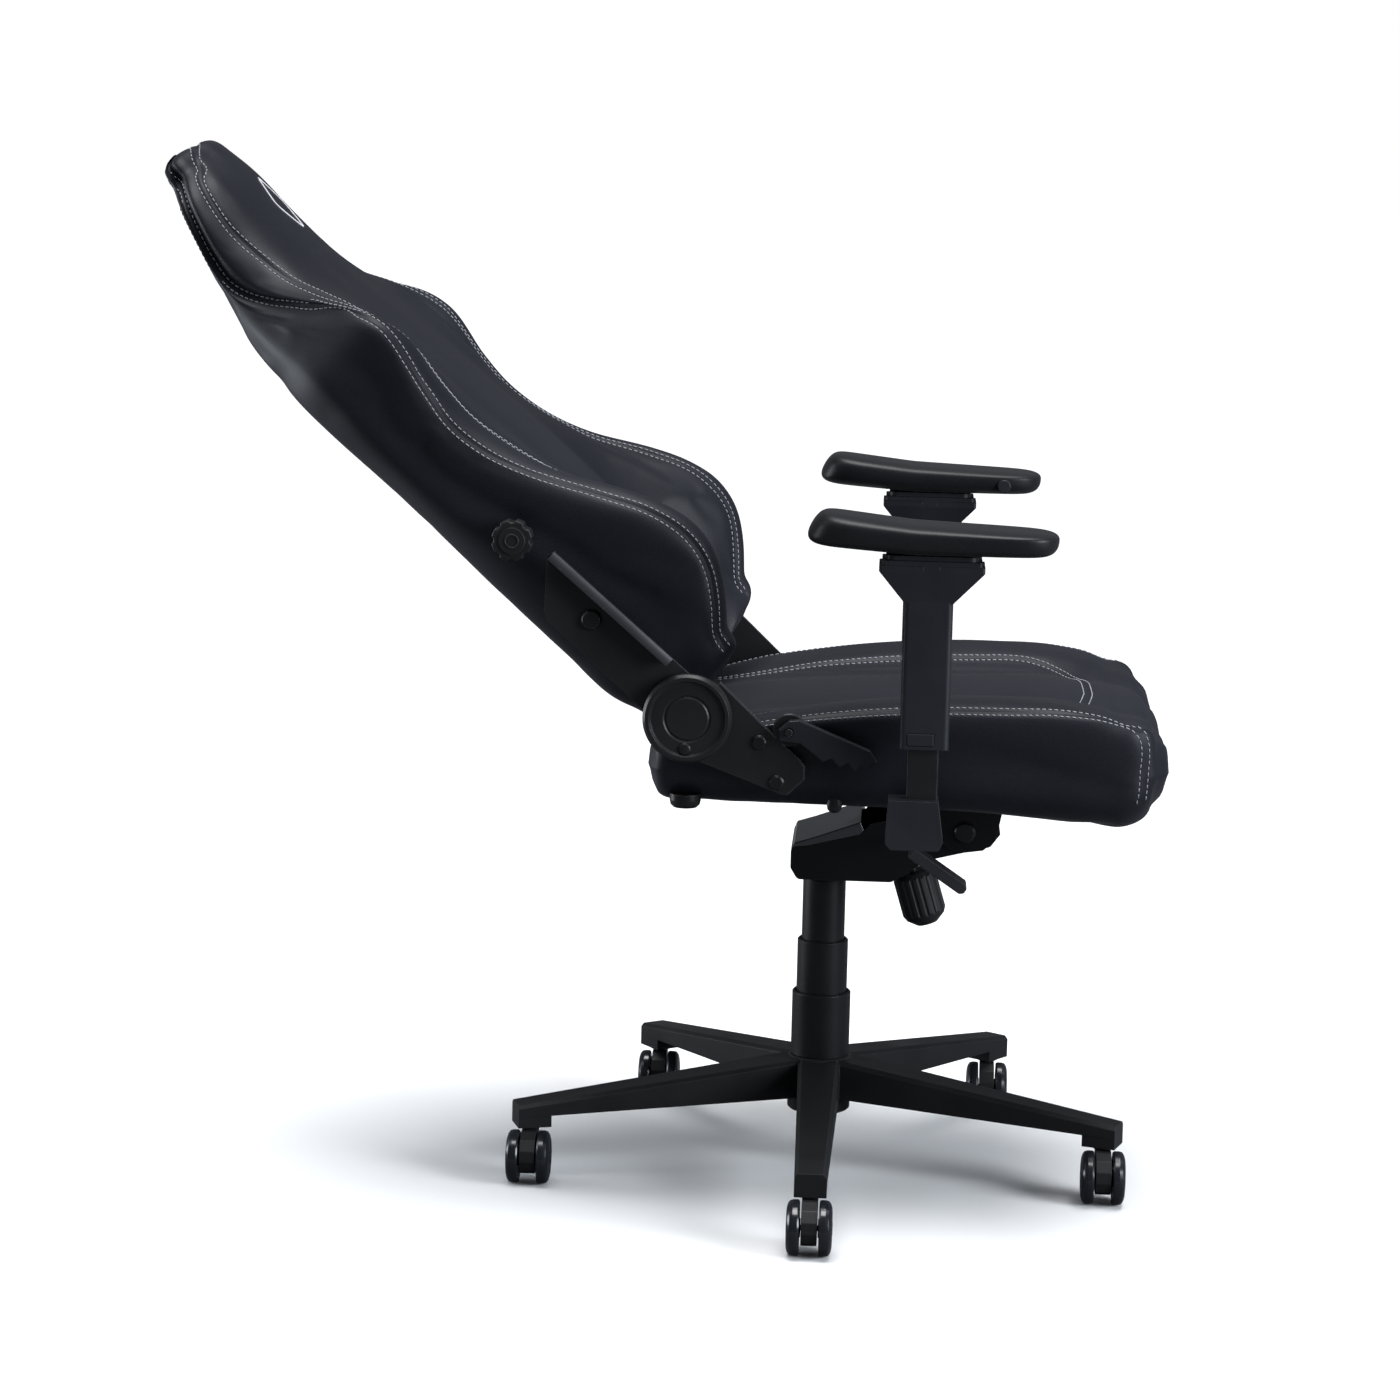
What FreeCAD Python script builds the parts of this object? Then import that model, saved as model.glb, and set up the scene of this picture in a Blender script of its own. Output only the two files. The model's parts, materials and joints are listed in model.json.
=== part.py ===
import FreeCAD, Part
import math
import os
import re
import Sketcher
from FreeCAD import Placement, Rotation, Vector

# A gaming chair with a five-leg base, a gas column, a tilting seat, a reclining back
# and two armrests that adjust in height, width, depth and angle.
#
# Frame, in millimetres: the origin is on the floor under the gas column, +X points the way
# the sitter faces, +Y to the sitter's left and +Z up. The back is stored leaned back on
# its rear stop, the column is near its top and every caster trails towards -Y.

os.makedirs("parts", exist_ok=True)
doc = FreeCAD.newDocument("gaming_chair")

# ---------------------------------------------------------------------------------------
# Driving dimensions
# ---------------------------------------------------------------------------------------

DIMENSIONS = {
    # base: heights are above the floor
    "leg_count": 5, "leg_angle": -90, "leg_end": 358, "leg_root": 26,
    "leg_width_root": 48, "leg_width_tip": 35, "leg_bevel": 4,
    "hub_radius": 36, "hub_top": 130, "hub_under": 66, "leg_tip_top": 88,
    "leg_root_under": 84, "leg_tip_under": 74, "socket_under": 62, "socket_length": 38,
    # casters
    "caster_circle": 340, "caster_trail": 22, "wheel_radius": 30, "wheel_inner": 9.4,
    "wheel_outer": 24.6, "housing_width": 17, "stem_radius": 5.5, "axle_radius": 3,
    "running_gap": 0.05,
    # gas column
    "tube_radius": 20, "tube_bottom": 50, "tube_top": 240, "cylinder_radius": 14,
    "cylinder_bottom": 165, "cylinder_top": 384, "rod_radius": 5, "piston_top": 200,
    "lower_cover_radius": 33.5, "lower_cover_top": 205,
    "middle_cover_radius": 29, "middle_cover_bottom": 190, "middle_cover_top": 266,
    "upper_cover_radius": 24.5, "upper_cover_bottom": 250, "cover_wall": 3,
    # tilt mechanism
    "collar_bottom": 338, "collar_radius": 27, "tray_width": 132, "tray_wall": 4,
    "tray_floor": 347, "tilt_x": 157, "tilt_z": 408, "tilt_pin_radius": 8,
    "lever_x": 106, "lever_z": 400, "lever_radius": 5, "lever_reach": 190,
    "knob_x": 101, "knob_z": 347, "knob_lean": 17, "knob_radius": 25, "knob_length": 62,
    "plate_top": 464, "plate_thickness": 5, "plate_width": 150,
    # seat
    "seat_half_width": 255, "seat_under": 466, "frame_bar": 22, "seat_frame_low": 490,
    "seat_frame_depth": 8, "back_frame_depth": 11,
    # recliner
    "recline_x": -147, "recline_z": 563, "recline_angle": 48, "recliner_radius": 48,
    "bracket_side": 258, "bracket_thickness": 6,
    # back, measured along it from the recliner pivot
    "back_frame_side": 190, "back_frame_length": 600, "lumbar_up": 266, "lumbar_out": 10,
    "lumbar_shaft": 6, "lumbar_knob_radius": 22,
    # armrests
    "arm_side": 307, "post_low": 445, "post_high": 680, "post_front": 122, "post_rear": 89,
    "post_thickness": 16, "sleeve_low": 545, "sleeve_front": 132, "sleeve_rear": 80,
    "sleeve_thickness": 38, "head_top": 741, "head_thickness": 60,
    "pad_low": 752, "pad_rear": -24, "pad_front": 241, "pad_width": 100, "pad_height": 38,
}

sheet = doc.addObject("Spreadsheet::Sheet", "sizes")
for row, (alias, number) in enumerate(DIMENSIONS.items(), 1):
    sheet.set(f"A{row}", alias)
    sheet.set(f"B{row}", str(number))
    sheet.setAlias(f"B{row}", alias)
doc.recompute()


def bound(text):
    """An expression for setExpression, in which each alias is read from the sheet."""
    return re.sub(r"[a-z_]{3,}", lambda word: "sizes." + word[0] if word[0] in DIMENSIONS
                  else word[0], str(text))


def value(text):
    """The number that an expression gives with the sheet's present cells."""
    return float(sheet.evalExpression(bound(text)))


# ---------------------------------------------------------------------------------------
# Sketches and features
# ---------------------------------------------------------------------------------------

nodes = {}


def keep(node, label):
    """Label an object as a finished sub-part of the chair."""
    node.Label = label
    nodes[label] = node
    return node


def new_body(name):
    return doc.addObject("PartDesign::Body", name)


def new_sketch(body, role, height="0"):
    """A sketch on one of the body's own origin planes, raised along the plane's normal."""
    sketch = body.newObject("Sketcher::SketchObject", body.Name + "_sketch")
    plane = next(item for item in body.Origin.OriginFeatures if item.Role == role)
    sketch.AttachmentSupport = [(plane, "")]
    sketch.MapMode = "FlatFace"
    sketch.setExpression("AttachmentOffset.Base.z", bound(height))
    return sketch


def hold(sketch, edge, point, across, up):
    """Tie one point of a sketch to its distances from the sketch's origin."""
    for kind, text in (("DistanceX", across), ("DistanceY", up)):
        number = value(text)
        index = sketch.addConstraint(Sketcher.Constraint(kind, -1, 1, edge, point, number))
        if number:
            sketch.setExpression(f"Constraints[{index}]", bound(text))


def outline(sketch, points):
    """A closed outline of straight edges through points given as pairs of expressions."""
    places = [Vector(value(across), value(up), 0) for across, up in points]
    first = sketch.GeometryCount
    count = len(points)
    for step in range(count):
        edge = Part.LineSegment(places[step], places[(step + 1) % count])
        sketch.addGeometry(edge, False)
    for step in range(count):
        after = first + (step + 1) % count
        sketch.addConstraint(Sketcher.Constraint("Coincident", first + step, 2, after, 1))
    for step, (across, up) in enumerate(points):
        hold(sketch, first + step, 1, across, up)


def box_outline(sketch, low, high):
    """A rectangle between two opposite corners."""
    outline(sketch, [low, (high[0], low[1]), high, (low[0], high[1])])


def circle(sketch, radius, across="0", up="0"):
    centre = Vector(value(across), value(up), 0)
    edge = sketch.addGeometry(Part.Circle(centre, Vector(0, 0, 1), value(radius)), False)
    index = sketch.addConstraint(Sketcher.Constraint("Radius", edge, value(radius)))
    sketch.setExpression(f"Constraints[{index}]", bound(radius))
    hold(sketch, edge, 3, across, up)


def extrude(body, sketch, length, symmetric=False, reverse=False, cut=False):
    """A Pad, or a Pocket where cut is set."""
    kind = "Pocket" if cut else "Pad"
    feature = body.newObject("PartDesign::" + kind, body.Name + "_" + kind.lower())
    feature.Profile = sketch
    feature.setExpression("Length", bound(length))
    feature.SideType = "Symmetric" if symmetric else "One side"
    feature.Reversed = reverse
    before = body_volume(body, feature) if cut else 0
    doc.recompute()
    if cut and feature.Shape.Volume > before - 1e-3:
        raise RuntimeError(f"{feature.Name} cuts nothing")
    return feature


def body_volume(body, feature):
    """The volume of the solid that a new feature starts from."""
    return feature.BaseFeature.Shape.Volume if feature.BaseFeature else 0


def revolve(body, sketch, axis="V_Axis"):
    feature = body.newObject("PartDesign::Revolution", body.Name + "_turn")
    feature.Profile = sketch
    feature.ReferenceAxis = (sketch, [axis])
    feature.Angle = 360
    doc.recompute()
    return feature


def round_edges(body, feature, radius, chosen, kind="Fillet"):
    """Round, or chamfer, the edges of a feature for which chosen(edge) is true."""
    names = [f"Edge{number}" for number, edge in enumerate(feature.Shape.Edges, 1)
             if chosen(edge)]
    if not names:
        raise RuntimeError(f"{feature.Name} has no such edge")
    rounding = body.newObject("PartDesign::" + kind, body.Name + "_" + kind.lower())
    rounding.Base = (feature, names)
    rounding.setExpression("Radius" if kind == "Fillet" else "Size", bound(radius))
    doc.recompute()
    if not rounding.Shape.isValid():
        raise RuntimeError(f"{rounding.Name} is not valid")
    return rounding


def along(axis):
    """Chooses straight edges that run along a direction."""
    def chosen(edge):
        if edge.Curve.TypeId != "Part::GeomLine":
            return False
        return abs(edge.tangentAt(edge.FirstParameter).dot(axis)) > 0.999
    return chosen


def level(height, axis=Vector(0, 0, 1)):
    """Chooses edges that lie wholly in a plane at a given height along an axis."""
    def chosen(edge):
        return all(abs(vertex.Point.dot(axis) - height) < 1e-4 for vertex in edge.Vertexes)
    return chosen


def place(node, x="0", y="0", z="0", turn=None):
    """Put a sub-part at a point given by expressions, turned if a rotation is given."""
    node.Placement = Placement(Vector(), turn if turn else Rotation())
    for axis, text in (("x", x), ("y", y), ("z", z)):
        node.setExpression("Placement.Base." + axis, bound(text))
    return node


def turned(name, points, axis="V_Axis"):
    """A round body turned from an outline of (radius, height) pairs."""
    body = new_body(name)
    sketch = new_sketch(body, "XZ_Plane")
    outline(sketch, points)
    revolve(body, sketch, axis)
    return body


def rod(name, radius, length, start, turn):
    """A Part::Cylinder that starts at a point and runs along its turned axis."""
    shaft = doc.addObject("Part::Cylinder", name)
    shaft.setExpression("Radius", bound(radius))
    shaft.setExpression("Height", bound(length))
    return place(shaft, *start, turn=turn)


def cut(name, base, tools):
    """Base with every tool taken away."""
    result = base
    for number, tool in enumerate(tools):
        step = doc.addObject("Part::Cut", f"{name}_cut_{number}")
        step.Base = result
        step.Tool = tool
        result = step
    doc.recompute()
    return result


def group(name, members):
    """Separate solids kept together in one sub-part."""
    compound = doc.addObject("Part::Compound", name)
    compound.Links = members
    doc.recompute()
    return compound


def fuse(name, members):
    joined = doc.addObject("Part::MultiFuse", name)
    joined.Shapes = members
    joined.Refine = True
    doc.recompute()
    return joined


X_AXIS = Vector(1, 0, 0)
Y_AXIS = Vector(0, 1, 0)
Z_AXIS = Vector(0, 0, 1)
TO_X = Rotation(Y_AXIS, 90)
TO_Y = Rotation(X_AXIS, -90)
TO_MINUS_Y = Rotation(X_AXIS, 90)
SIDES = (("right", -1), ("left", 1))

# ---------------------------------------------------------------------------------------
# Base: hub, five tapering legs and their caster sockets
# ---------------------------------------------------------------------------------------

star = new_body("base_star")
section = new_sketch(star, "XZ_Plane")
outline(section, [("tube_radius", "hub_under"), ("hub_radius - 2", "hub_under"),
                  ("hub_radius", "hub_under + 2"), ("hub_radius", "hub_top - 2"),
                  ("hub_radius - 2", "hub_top"), ("tube_radius", "hub_top")])
revolve(star, section)


def leg_section(distance, width, under, top):
    """A leg's section across it: upright sides and a bevel along each top edge."""
    sketch = new_sketch(star, "YZ_Plane", distance)
    half = f"({width}) / 2"
    outline(sketch, [(f"-{half}", under), (half, under), (half, f"{top} - leg_bevel"),
                     (f"{half} - leg_bevel", top), (f"leg_bevel - {half}", top),
                     (f"-{half}", f"{top} - leg_bevel")])
    return sketch


root = leg_section("leg_root", "leg_width_root", "leg_root_under", "hub_top - 1")
tip = leg_section("leg_end", "leg_width_tip", "leg_tip_under", "leg_tip_top")
leg = star.newObject("PartDesign::AdditiveLoft", "leg")
leg.Profile = root
leg.Sections = [tip]
doc.recompute()
socket_outline = new_sketch(star, "XY_Plane", "socket_under")
box_outline(socket_outline, ("leg_end - socket_length", "-leg_width_tip / 2"),
            ("leg_end", "leg_width_tip / 2"))
socket = extrude(star, socket_outline, "leg_tip_under + 6 - socket_under")


def channel_section(distance, width, under, top):
    """The open channel under a leg, across it."""
    sketch = new_sketch(star, "YZ_Plane", distance)
    box_outline(sketch, (f"-({width}) / 2", under), (f"({width}) / 2", top))
    return sketch


channel = star.newObject("PartDesign::SubtractiveLoft", "leg_channel")
channel.Profile = channel_section("62", "leg_width_root - 12", "60", "hub_top - 14")
channel.Sections = [channel_section("leg_end - socket_length - 6", "leg_width_tip - 10",
                                    "60", "leg_tip_top - 2")]
doc.recompute()
stem_hole = new_sketch(star, "XY_Plane", "socket_under")
circle(stem_hole, "stem_radius + running_gap", "caster_circle")
hole = extrude(star, stem_hole, "22", reverse=True, cut=True)
legs = star.newObject("PartDesign::PolarPattern", "legs")
legs.Originals = [leg, socket, channel, hole]
legs.Axis = (next(o for o in star.Origin.OriginFeatures if o.Role == "Z_Axis"), [""])
legs.Angle = 360
legs.setExpression("Occurrences", bound("leg_count"))
star.Tip = legs
doc.recompute()
place(star, turn=Rotation(Z_AXIS, value("leg_angle")))
keep(star, "base_star")

# ---------------------------------------------------------------------------------------
# Casters: fork with stem and axle, and two wheels each
# ---------------------------------------------------------------------------------------


def caster_fork(name):
    """The moulded plate between the wheels, with a round neck under the leg's socket."""
    body = new_body(name)
    side = new_sketch(body, "YZ_Plane")
    outline(side, [("12", "59.2"), ("12", "50"), ("-3", "27"), ("-8", "16"), ("-14", "13"),
                   ("-32", "13"), ("-44", "19"), ("-49", "30"), ("-47", "42"),
                   ("-38", "53"), ("-24", "59.2")])
    plate = extrude(body, side, "housing_width", symmetric=True)
    round_edges(body, plate, "3", along(X_AXIS))
    neck = new_sketch(body, "XY_Plane", "59.2")
    circle(neck, "12.5")
    extrude(body, neck, "socket_under - 59.4")
    return body


def wheel(name):
    """A wheel with a crowned tread and a dished outer face, turned about the X axis."""
    body = new_body(name)
    section = new_sketch(body, "XY_Plane")
    outline(section, [
        ("21.2", "0"), ("wheel_outer - 0.4", "0"), ("wheel_outer", "8"),
        ("wheel_outer - 0.8", "10"), ("wheel_outer - 0.8", "17"), ("wheel_outer", "19"),
        ("wheel_outer - 0.3", "22"), ("wheel_outer - 1.4", "26"),
        ("wheel_outer - 3.6", "wheel_radius - 1"), ("wheel_outer - 7", "wheel_radius"),
        ("wheel_inner + 3", "wheel_radius"), ("wheel_inner + 1.2", "wheel_radius - 1.2"),
        ("wheel_inner + 1.2", "24"), ("wheel_inner + 3.5", "22"),
        ("wheel_inner + 3.5", "12"), ("wheel_inner", "10"),
        ("wheel_inner", "axle_radius + running_gap"), ("21.2", "axle_radius + running_gap")])
    revolve(body, section, "H_Axis")
    return body


for number in range(1, int(value("leg_count")) + 1):
    angle = math.radians(value("leg_angle") + (number - 1) * 360 / value("leg_count"))
    stem_x = f"caster_circle * {math.cos(angle):.9f}"
    stem_y = f"caster_circle * {math.sin(angle):.9f}"
    stem = rod(f"stem_{number}", "stem_radius", "39", ("0", "0", "44"), Rotation())
    axle = rod(f"axle_{number}", "axle_radius", "42", ("-21", "-caster_trail", "wheel_radius"),
               TO_X)
    fork = cut(f"fork_{number}", caster_fork(f"fork_plate_{number}"), [stem, axle])
    housing = group(f"caster_{number}", [fork, stem, axle])
    place(housing, stem_x, stem_y)
    keep(housing, f"caster_housing_{number}")
    for letter, spin in (("a", 0), ("b", 180)):
        disc = wheel(f"wheel_{letter}_{number}")
        place(disc, stem_x, f"{stem_y} - caster_trail", "wheel_radius", Rotation(Z_AXIS, spin))
        keep(disc, f"caster_wheel_{letter}_{number}")

# ---------------------------------------------------------------------------------------
# Gas column: tube with its guide bush, rod and piston, cylinder, telescoping covers
# ---------------------------------------------------------------------------------------

keep(turned("tube", [
    ("rod_radius + running_gap", "tube_bottom"), ("tube_radius", "tube_bottom"),
    ("tube_radius", "tube_top"), ("cylinder_radius + running_gap", "tube_top"),
    ("cylinder_radius + running_gap", "tube_top - 40"), ("tube_radius - 4", "tube_top - 42"),
    ("tube_radius - 4", "tube_bottom + 8"),
    ("rod_radius + running_gap", "tube_bottom + 8")]), "column_tube")
keep(turned("piston", [
    ("0", "tube_bottom - 4"), ("9", "tube_bottom - 4"), ("9", "tube_bottom - 0.5"),
    ("rod_radius", "tube_bottom - 0.5"), ("rod_radius", "piston_top - 14"),
    ("cylinder_radius - 3.1", "piston_top - 14"), ("cylinder_radius - 3.1", "piston_top"),
    ("0", "piston_top")]), "piston_rod")
keep(turned("cylinder", [
    ("0", "cylinder_top"), ("0", "cylinder_top - 10"), ("cylinder_radius - 3", "cylinder_top - 10"),
    ("cylinder_radius - 3", "cylinder_bottom + 10"),
    ("rod_radius + running_gap", "cylinder_bottom + 10"),
    ("rod_radius + running_gap", "cylinder_bottom"), ("cylinder_radius", "cylinder_bottom"),
    ("cylinder_radius", "cylinder_top")]), "gas_cylinder")


def cover(label, radius, low, high):
    """A plastic cover: a thin tube whose outer edges are slightly bevelled."""
    inside = f"{radius} - cover_wall"
    keep(turned(label, [
        (inside, low), (f"{radius} - 1", low), (radius, f"{low} + 1"),
        (radius, f"{high} - 1.5"), (f"{radius} - 1.5", high), (inside, high)]), label)


cover("column_cover_lower", "lower_cover_radius", "hub_top", "lower_cover_top")
cover("column_cover_middle", "middle_cover_radius", "middle_cover_bottom", "middle_cover_top")
cover("column_cover_upper", "upper_cover_radius", "upper_cover_bottom", "collar_bottom")

# ---------------------------------------------------------------------------------------
# Tilt mechanism
# ---------------------------------------------------------------------------------------

tray = new_body("tray")
side = new_sketch(tray, "XZ_Plane")
outline(side, [("-30", "tray_floor"), ("76", "tray_floor"), ("118", "374"), ("186", "391"),
               ("197", "406"), ("190", "440"), ("110", "430"), ("66", "416"), ("50", "412"),
               ("39", "400"), ("-14", "387"), ("-38", "385"), ("-38", "360")])
block = extrude(tray, side, "tray_width", symmetric=True)
round_edges(tray, block, "7", lambda edge: along(Y_AXIS)(edge)
            and edge.CenterOfMass.z < 400)
inside = new_sketch(tray, "XZ_Plane")
outline(inside, [("31", "tray_floor + tray_wall"), ("75", "tray_floor + tray_wall"),
                 ("117", "378"), ("184", "395"), ("192", "407"), ("184", "470"),
                 ("31", "470")])
extrude(tray, inside, "tray_width - 2 * tray_wall", symmetric=True, cut=True)
collar = new_sketch(tray, "XY_Plane", "collar_bottom")
circle(collar, "collar_radius")
extrude(tray, collar, "cylinder_top - collar_bottom - 4")
bore = new_sketch(tray, "XY_Plane", "collar_bottom")
circle(bore, "cylinder_radius")
extrude(tray, bore, "100", reverse=True, cut=True)
pins = new_sketch(tray, "XZ_Plane")
circle(pins, "tilt_pin_radius + running_gap", "tilt_x", "tilt_z")
circle(pins, "lever_radius + running_gap", "lever_x", "lever_z")
extrude(tray, pins, "200", symmetric=True, cut=True)

# the tension bolt leans forward as it goes down; its knob hangs on its lower end
LEAN = Rotation(Y_AXIS, -value("knob_lean"))
bolt_way = rod("bolt_way", "rod_radius + running_gap", "60", ("knob_x", "0", "knob_z"), LEAN)
keep(cut("tray", tray, [bolt_way]), "mechanism_housing")

top = new_body("tray_lid")
side = new_sketch(top, "XZ_Plane")
outline(side, [("-36", "385.1"), ("-14", "387"), ("39", "400"), ("44", "405.7"), ("40", "415"),
               ("-12", "396"), ("-34", "389")])
lid = extrude(top, side, "tray_width", symmetric=True)
round_edges(top, lid, "1.5", lambda edge: not along(Y_AXIS)(edge) and
            edge.CenterOfMass.z > 392)
keep(cut("fitted_lid", top, [nodes["mechanism_housing"]]), "mechanism_cover")

knob = new_body("knob")
profile = new_sketch(knob, "XZ_Plane")
outline(profile, [("0", "-knob_length"), ("12", "-knob_length"), ("knob_radius - 3", "8 - knob_length"),
                  ("knob_radius", "14 - knob_length"), ("knob_radius", "-6"),
                  ("knob_radius - 4", "0"), ("rod_radius", "0"), ("rod_radius", "62"),
                  ("0", "62")])
revolve(knob, profile)
groove = new_sketch(knob, "XY_Plane", "-knob_length")
circle(groove, "2.4", "knob_radius + 1")
channel = extrude(knob, groove, "knob_length + 1", reverse=True, cut=True)
ribs = knob.newObject("PartDesign::PolarPattern", "ribs")
ribs.Originals = [channel]
ribs.Axis = (next(o for o in knob.Origin.OriginFeatures if o.Role == "Z_Axis"), [""])
ribs.Angle = 360
ribs.Occurrences = 18
knob.Tip = ribs
doc.recompute()
place(knob, "knob_x", "0", "knob_z", LEAN)
keep(knob, "tension_knob")

helix = Part.makeHelix(7, 28, value("rod_radius") + 8)
wire_circle = Part.makeCircle(2.4, Vector(value("rod_radius") + 8, 0, 0), Vector(0, 1, 0))
coil = Part.Wire(helix).makePipeShell([Part.Wire(wire_circle)], True, True)
spring = doc.addObject("Part::Feature", "coil")
spring.Shape = coil
spring.Placement = Placement(Vector(value("knob_x"), 0, value("knob_z")), LEAN).multiply(
    Placement(Vector(0, 0, 28.5), Rotation()))
keep(spring, "tilt_spring")


for label, side, droop in (("height_lever", -1, 34), ("tilt_lock_lever", 1, 12)):
    body = new_body(label + "_rod")
    start = new_sketch(body, "XZ_Plane", "40")
    circle(start, "lever_radius")
    extrude(body, start, "lever_reach - 60")
    blade = new_sketch(body, "XZ_Plane", "lever_reach - 26")
    outline(blade, [("-12", "-6.5"), ("58", "-6.5"), ("62", "-3"), ("62", "3"), ("58", "6.5"),
                    ("-12", "6.5")])
    paddle = extrude(body, blade, "26")
    soft = round_edges(body, paddle, "4", lambda edge: along(Y_AXIS)(edge)
                       and edge.CenterOfMass.Length > 30)
    round_edges(body, soft, "1.5", level(-value("lever_reach"), Y_AXIS))
    spin = Rotation(Y_AXIS, droop)
    if side > 0:
        spin = Rotation(Y_AXIS, droop).multiply(Rotation(X_AXIS, 180))
    place(body, "lever_x", "0", "lever_z", spin)
    keep(body, label)

# the seat plate turns on the tray's front pivot between two ears outside the tray
deck = new_body("deck")
flat = new_sketch(deck, "XY_Plane", "plate_top - plate_thickness")
box_outline(flat, ("-70", "-plate_width / 2"), ("215", "plate_width / 2"))
slab = extrude(deck, flat, "plate_thickness")
round_edges(deck, slab, "14", along(Z_AXIS))
for side in (-1, 1):
    ear = new_sketch(deck, "XZ_Plane", f"{side} * (tray_width / 2 + 3) + 2.5")
    outline(ear, [("122", "plate_top - 2"), ("128", "400"), ("140", "388"), ("158", "385"),
                  ("178", "388"), ("192", "400"), ("204", "plate_top - 2")])
    circle(ear, "tilt_pin_radius", "tilt_x", "tilt_z")
    extrude(deck, ear, "5", reverse=True)
keep(deck, "seat_plate")

# ---------------------------------------------------------------------------------------
# Seat: steel frame inside a foam cushion with raised sides
# ---------------------------------------------------------------------------------------


def bar_frame(name, length, width, bars, depth):
    """A flat frame of two long bars and evenly spaced cross bars, centred across."""
    body = new_body(name)
    flat = new_sketch(body, "XY_Plane")
    box_outline(flat, ("0", f"-{width} / 2"), (length, f"{width} / 2"))
    slab = extrude(body, flat, depth)
    pitch = (value(length) - value("frame_bar")) / (bars - 1)
    gaps = new_sketch(body, "XY_Plane")
    box_outline(gaps, ("frame_bar", f"frame_bar - {width} / 2"),
                (str(pitch), f"{width} / 2 - frame_bar"))
    first = extrude(body, gaps, depth, reverse=True, cut=True)
    row = body.newObject("PartDesign::LinearPattern", name + "_gaps")
    row.Originals = [first]
    row.Direction = (next(o for o in body.Origin.OriginFeatures if o.Role == "X_Axis"), [""])
    row.Length = pitch * (bars - 2)
    row.Occurrences = bars - 1
    body.Tip = row
    doc.recompute()
    return body


seat_frame = place(bar_frame("seat_bars", "400", "420", 5, "seat_frame_depth"), "-130", "0",
                   "seat_frame_low")
keep(seat_frame, "seat_frame")


def mirrored_ring(half):
    """A closed wire through points given for y >= 0 and repeated for y < 0."""
    other = [Vector(point.x, -point.y, point.z) for point in reversed(half)]
    return Part.makePolygon(half + other + [half[0]])


def seat_ring(x, under, side, ridge, middle, half_width):
    """The seat cushion's outline across it, with a raised bolster at each side."""
    points = [(half_width - 14, under), (half_width, under + 18), (half_width, side - 14),
              (half_width - 10, side - 2), (half_width - 40, ridge), (half_width - 88, ridge - 2),
              (half_width - 118, middle + 2), (half_width - 145, middle)]
    return mirrored_ring([Vector(x, y, z) for y, z in points])


half = value("seat_half_width")
low = value("seat_under")
seat_rings = [
    seat_ring(-180, low + 16, 530, 534, 526, half - 16),
    seat_ring(-160, low + 2, 544, 549, 538, half - 4),
    seat_ring(-60, low, 562, 567, 547, half),
    seat_ring(60, low, 570, 577, 553, half),
    seat_ring(180, low - 1, 573, 579, 556, half),
    seat_ring(290, low - 2, 568, 571, 560, half),
    seat_ring(340, low - 4, 549, 552, 547, half - 3),
    seat_ring(363, low + 20, 524, 527, 525, half - 16),
]
seat_foam = doc.addObject("Part::Feature", "seat_foam")
seat_foam.Shape = Part.makeLoft(seat_rings, True, True)

# ---------------------------------------------------------------------------------------
# Recliner: plates on the seat, turning plates on the back, covers, cross rod and lever
# ---------------------------------------------------------------------------------------


def side_plate(name, points, near, thickness, side, discs=(), holes=()):
    """An upright plate beside the chair, from |y| = near outwards."""
    body = new_body(name)
    start = f"-({near})" if side > 0 else near
    flat = new_sketch(body, "XZ_Plane", start)
    outline(flat, points)
    plate = extrude(body, flat, thickness, reverse=side > 0)
    for radius, x, z in discs:
        disc = new_sketch(body, "XZ_Plane", start)
        circle(disc, radius, x, z)
        extrude(body, disc, thickness, reverse=side > 0)
    for radius, x, z in holes:
        opening = new_sketch(body, "XZ_Plane", start)
        circle(opening, radius, x, z)
        extrude(body, opening, thickness, reverse=side < 0, cut=True)
    return body


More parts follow.
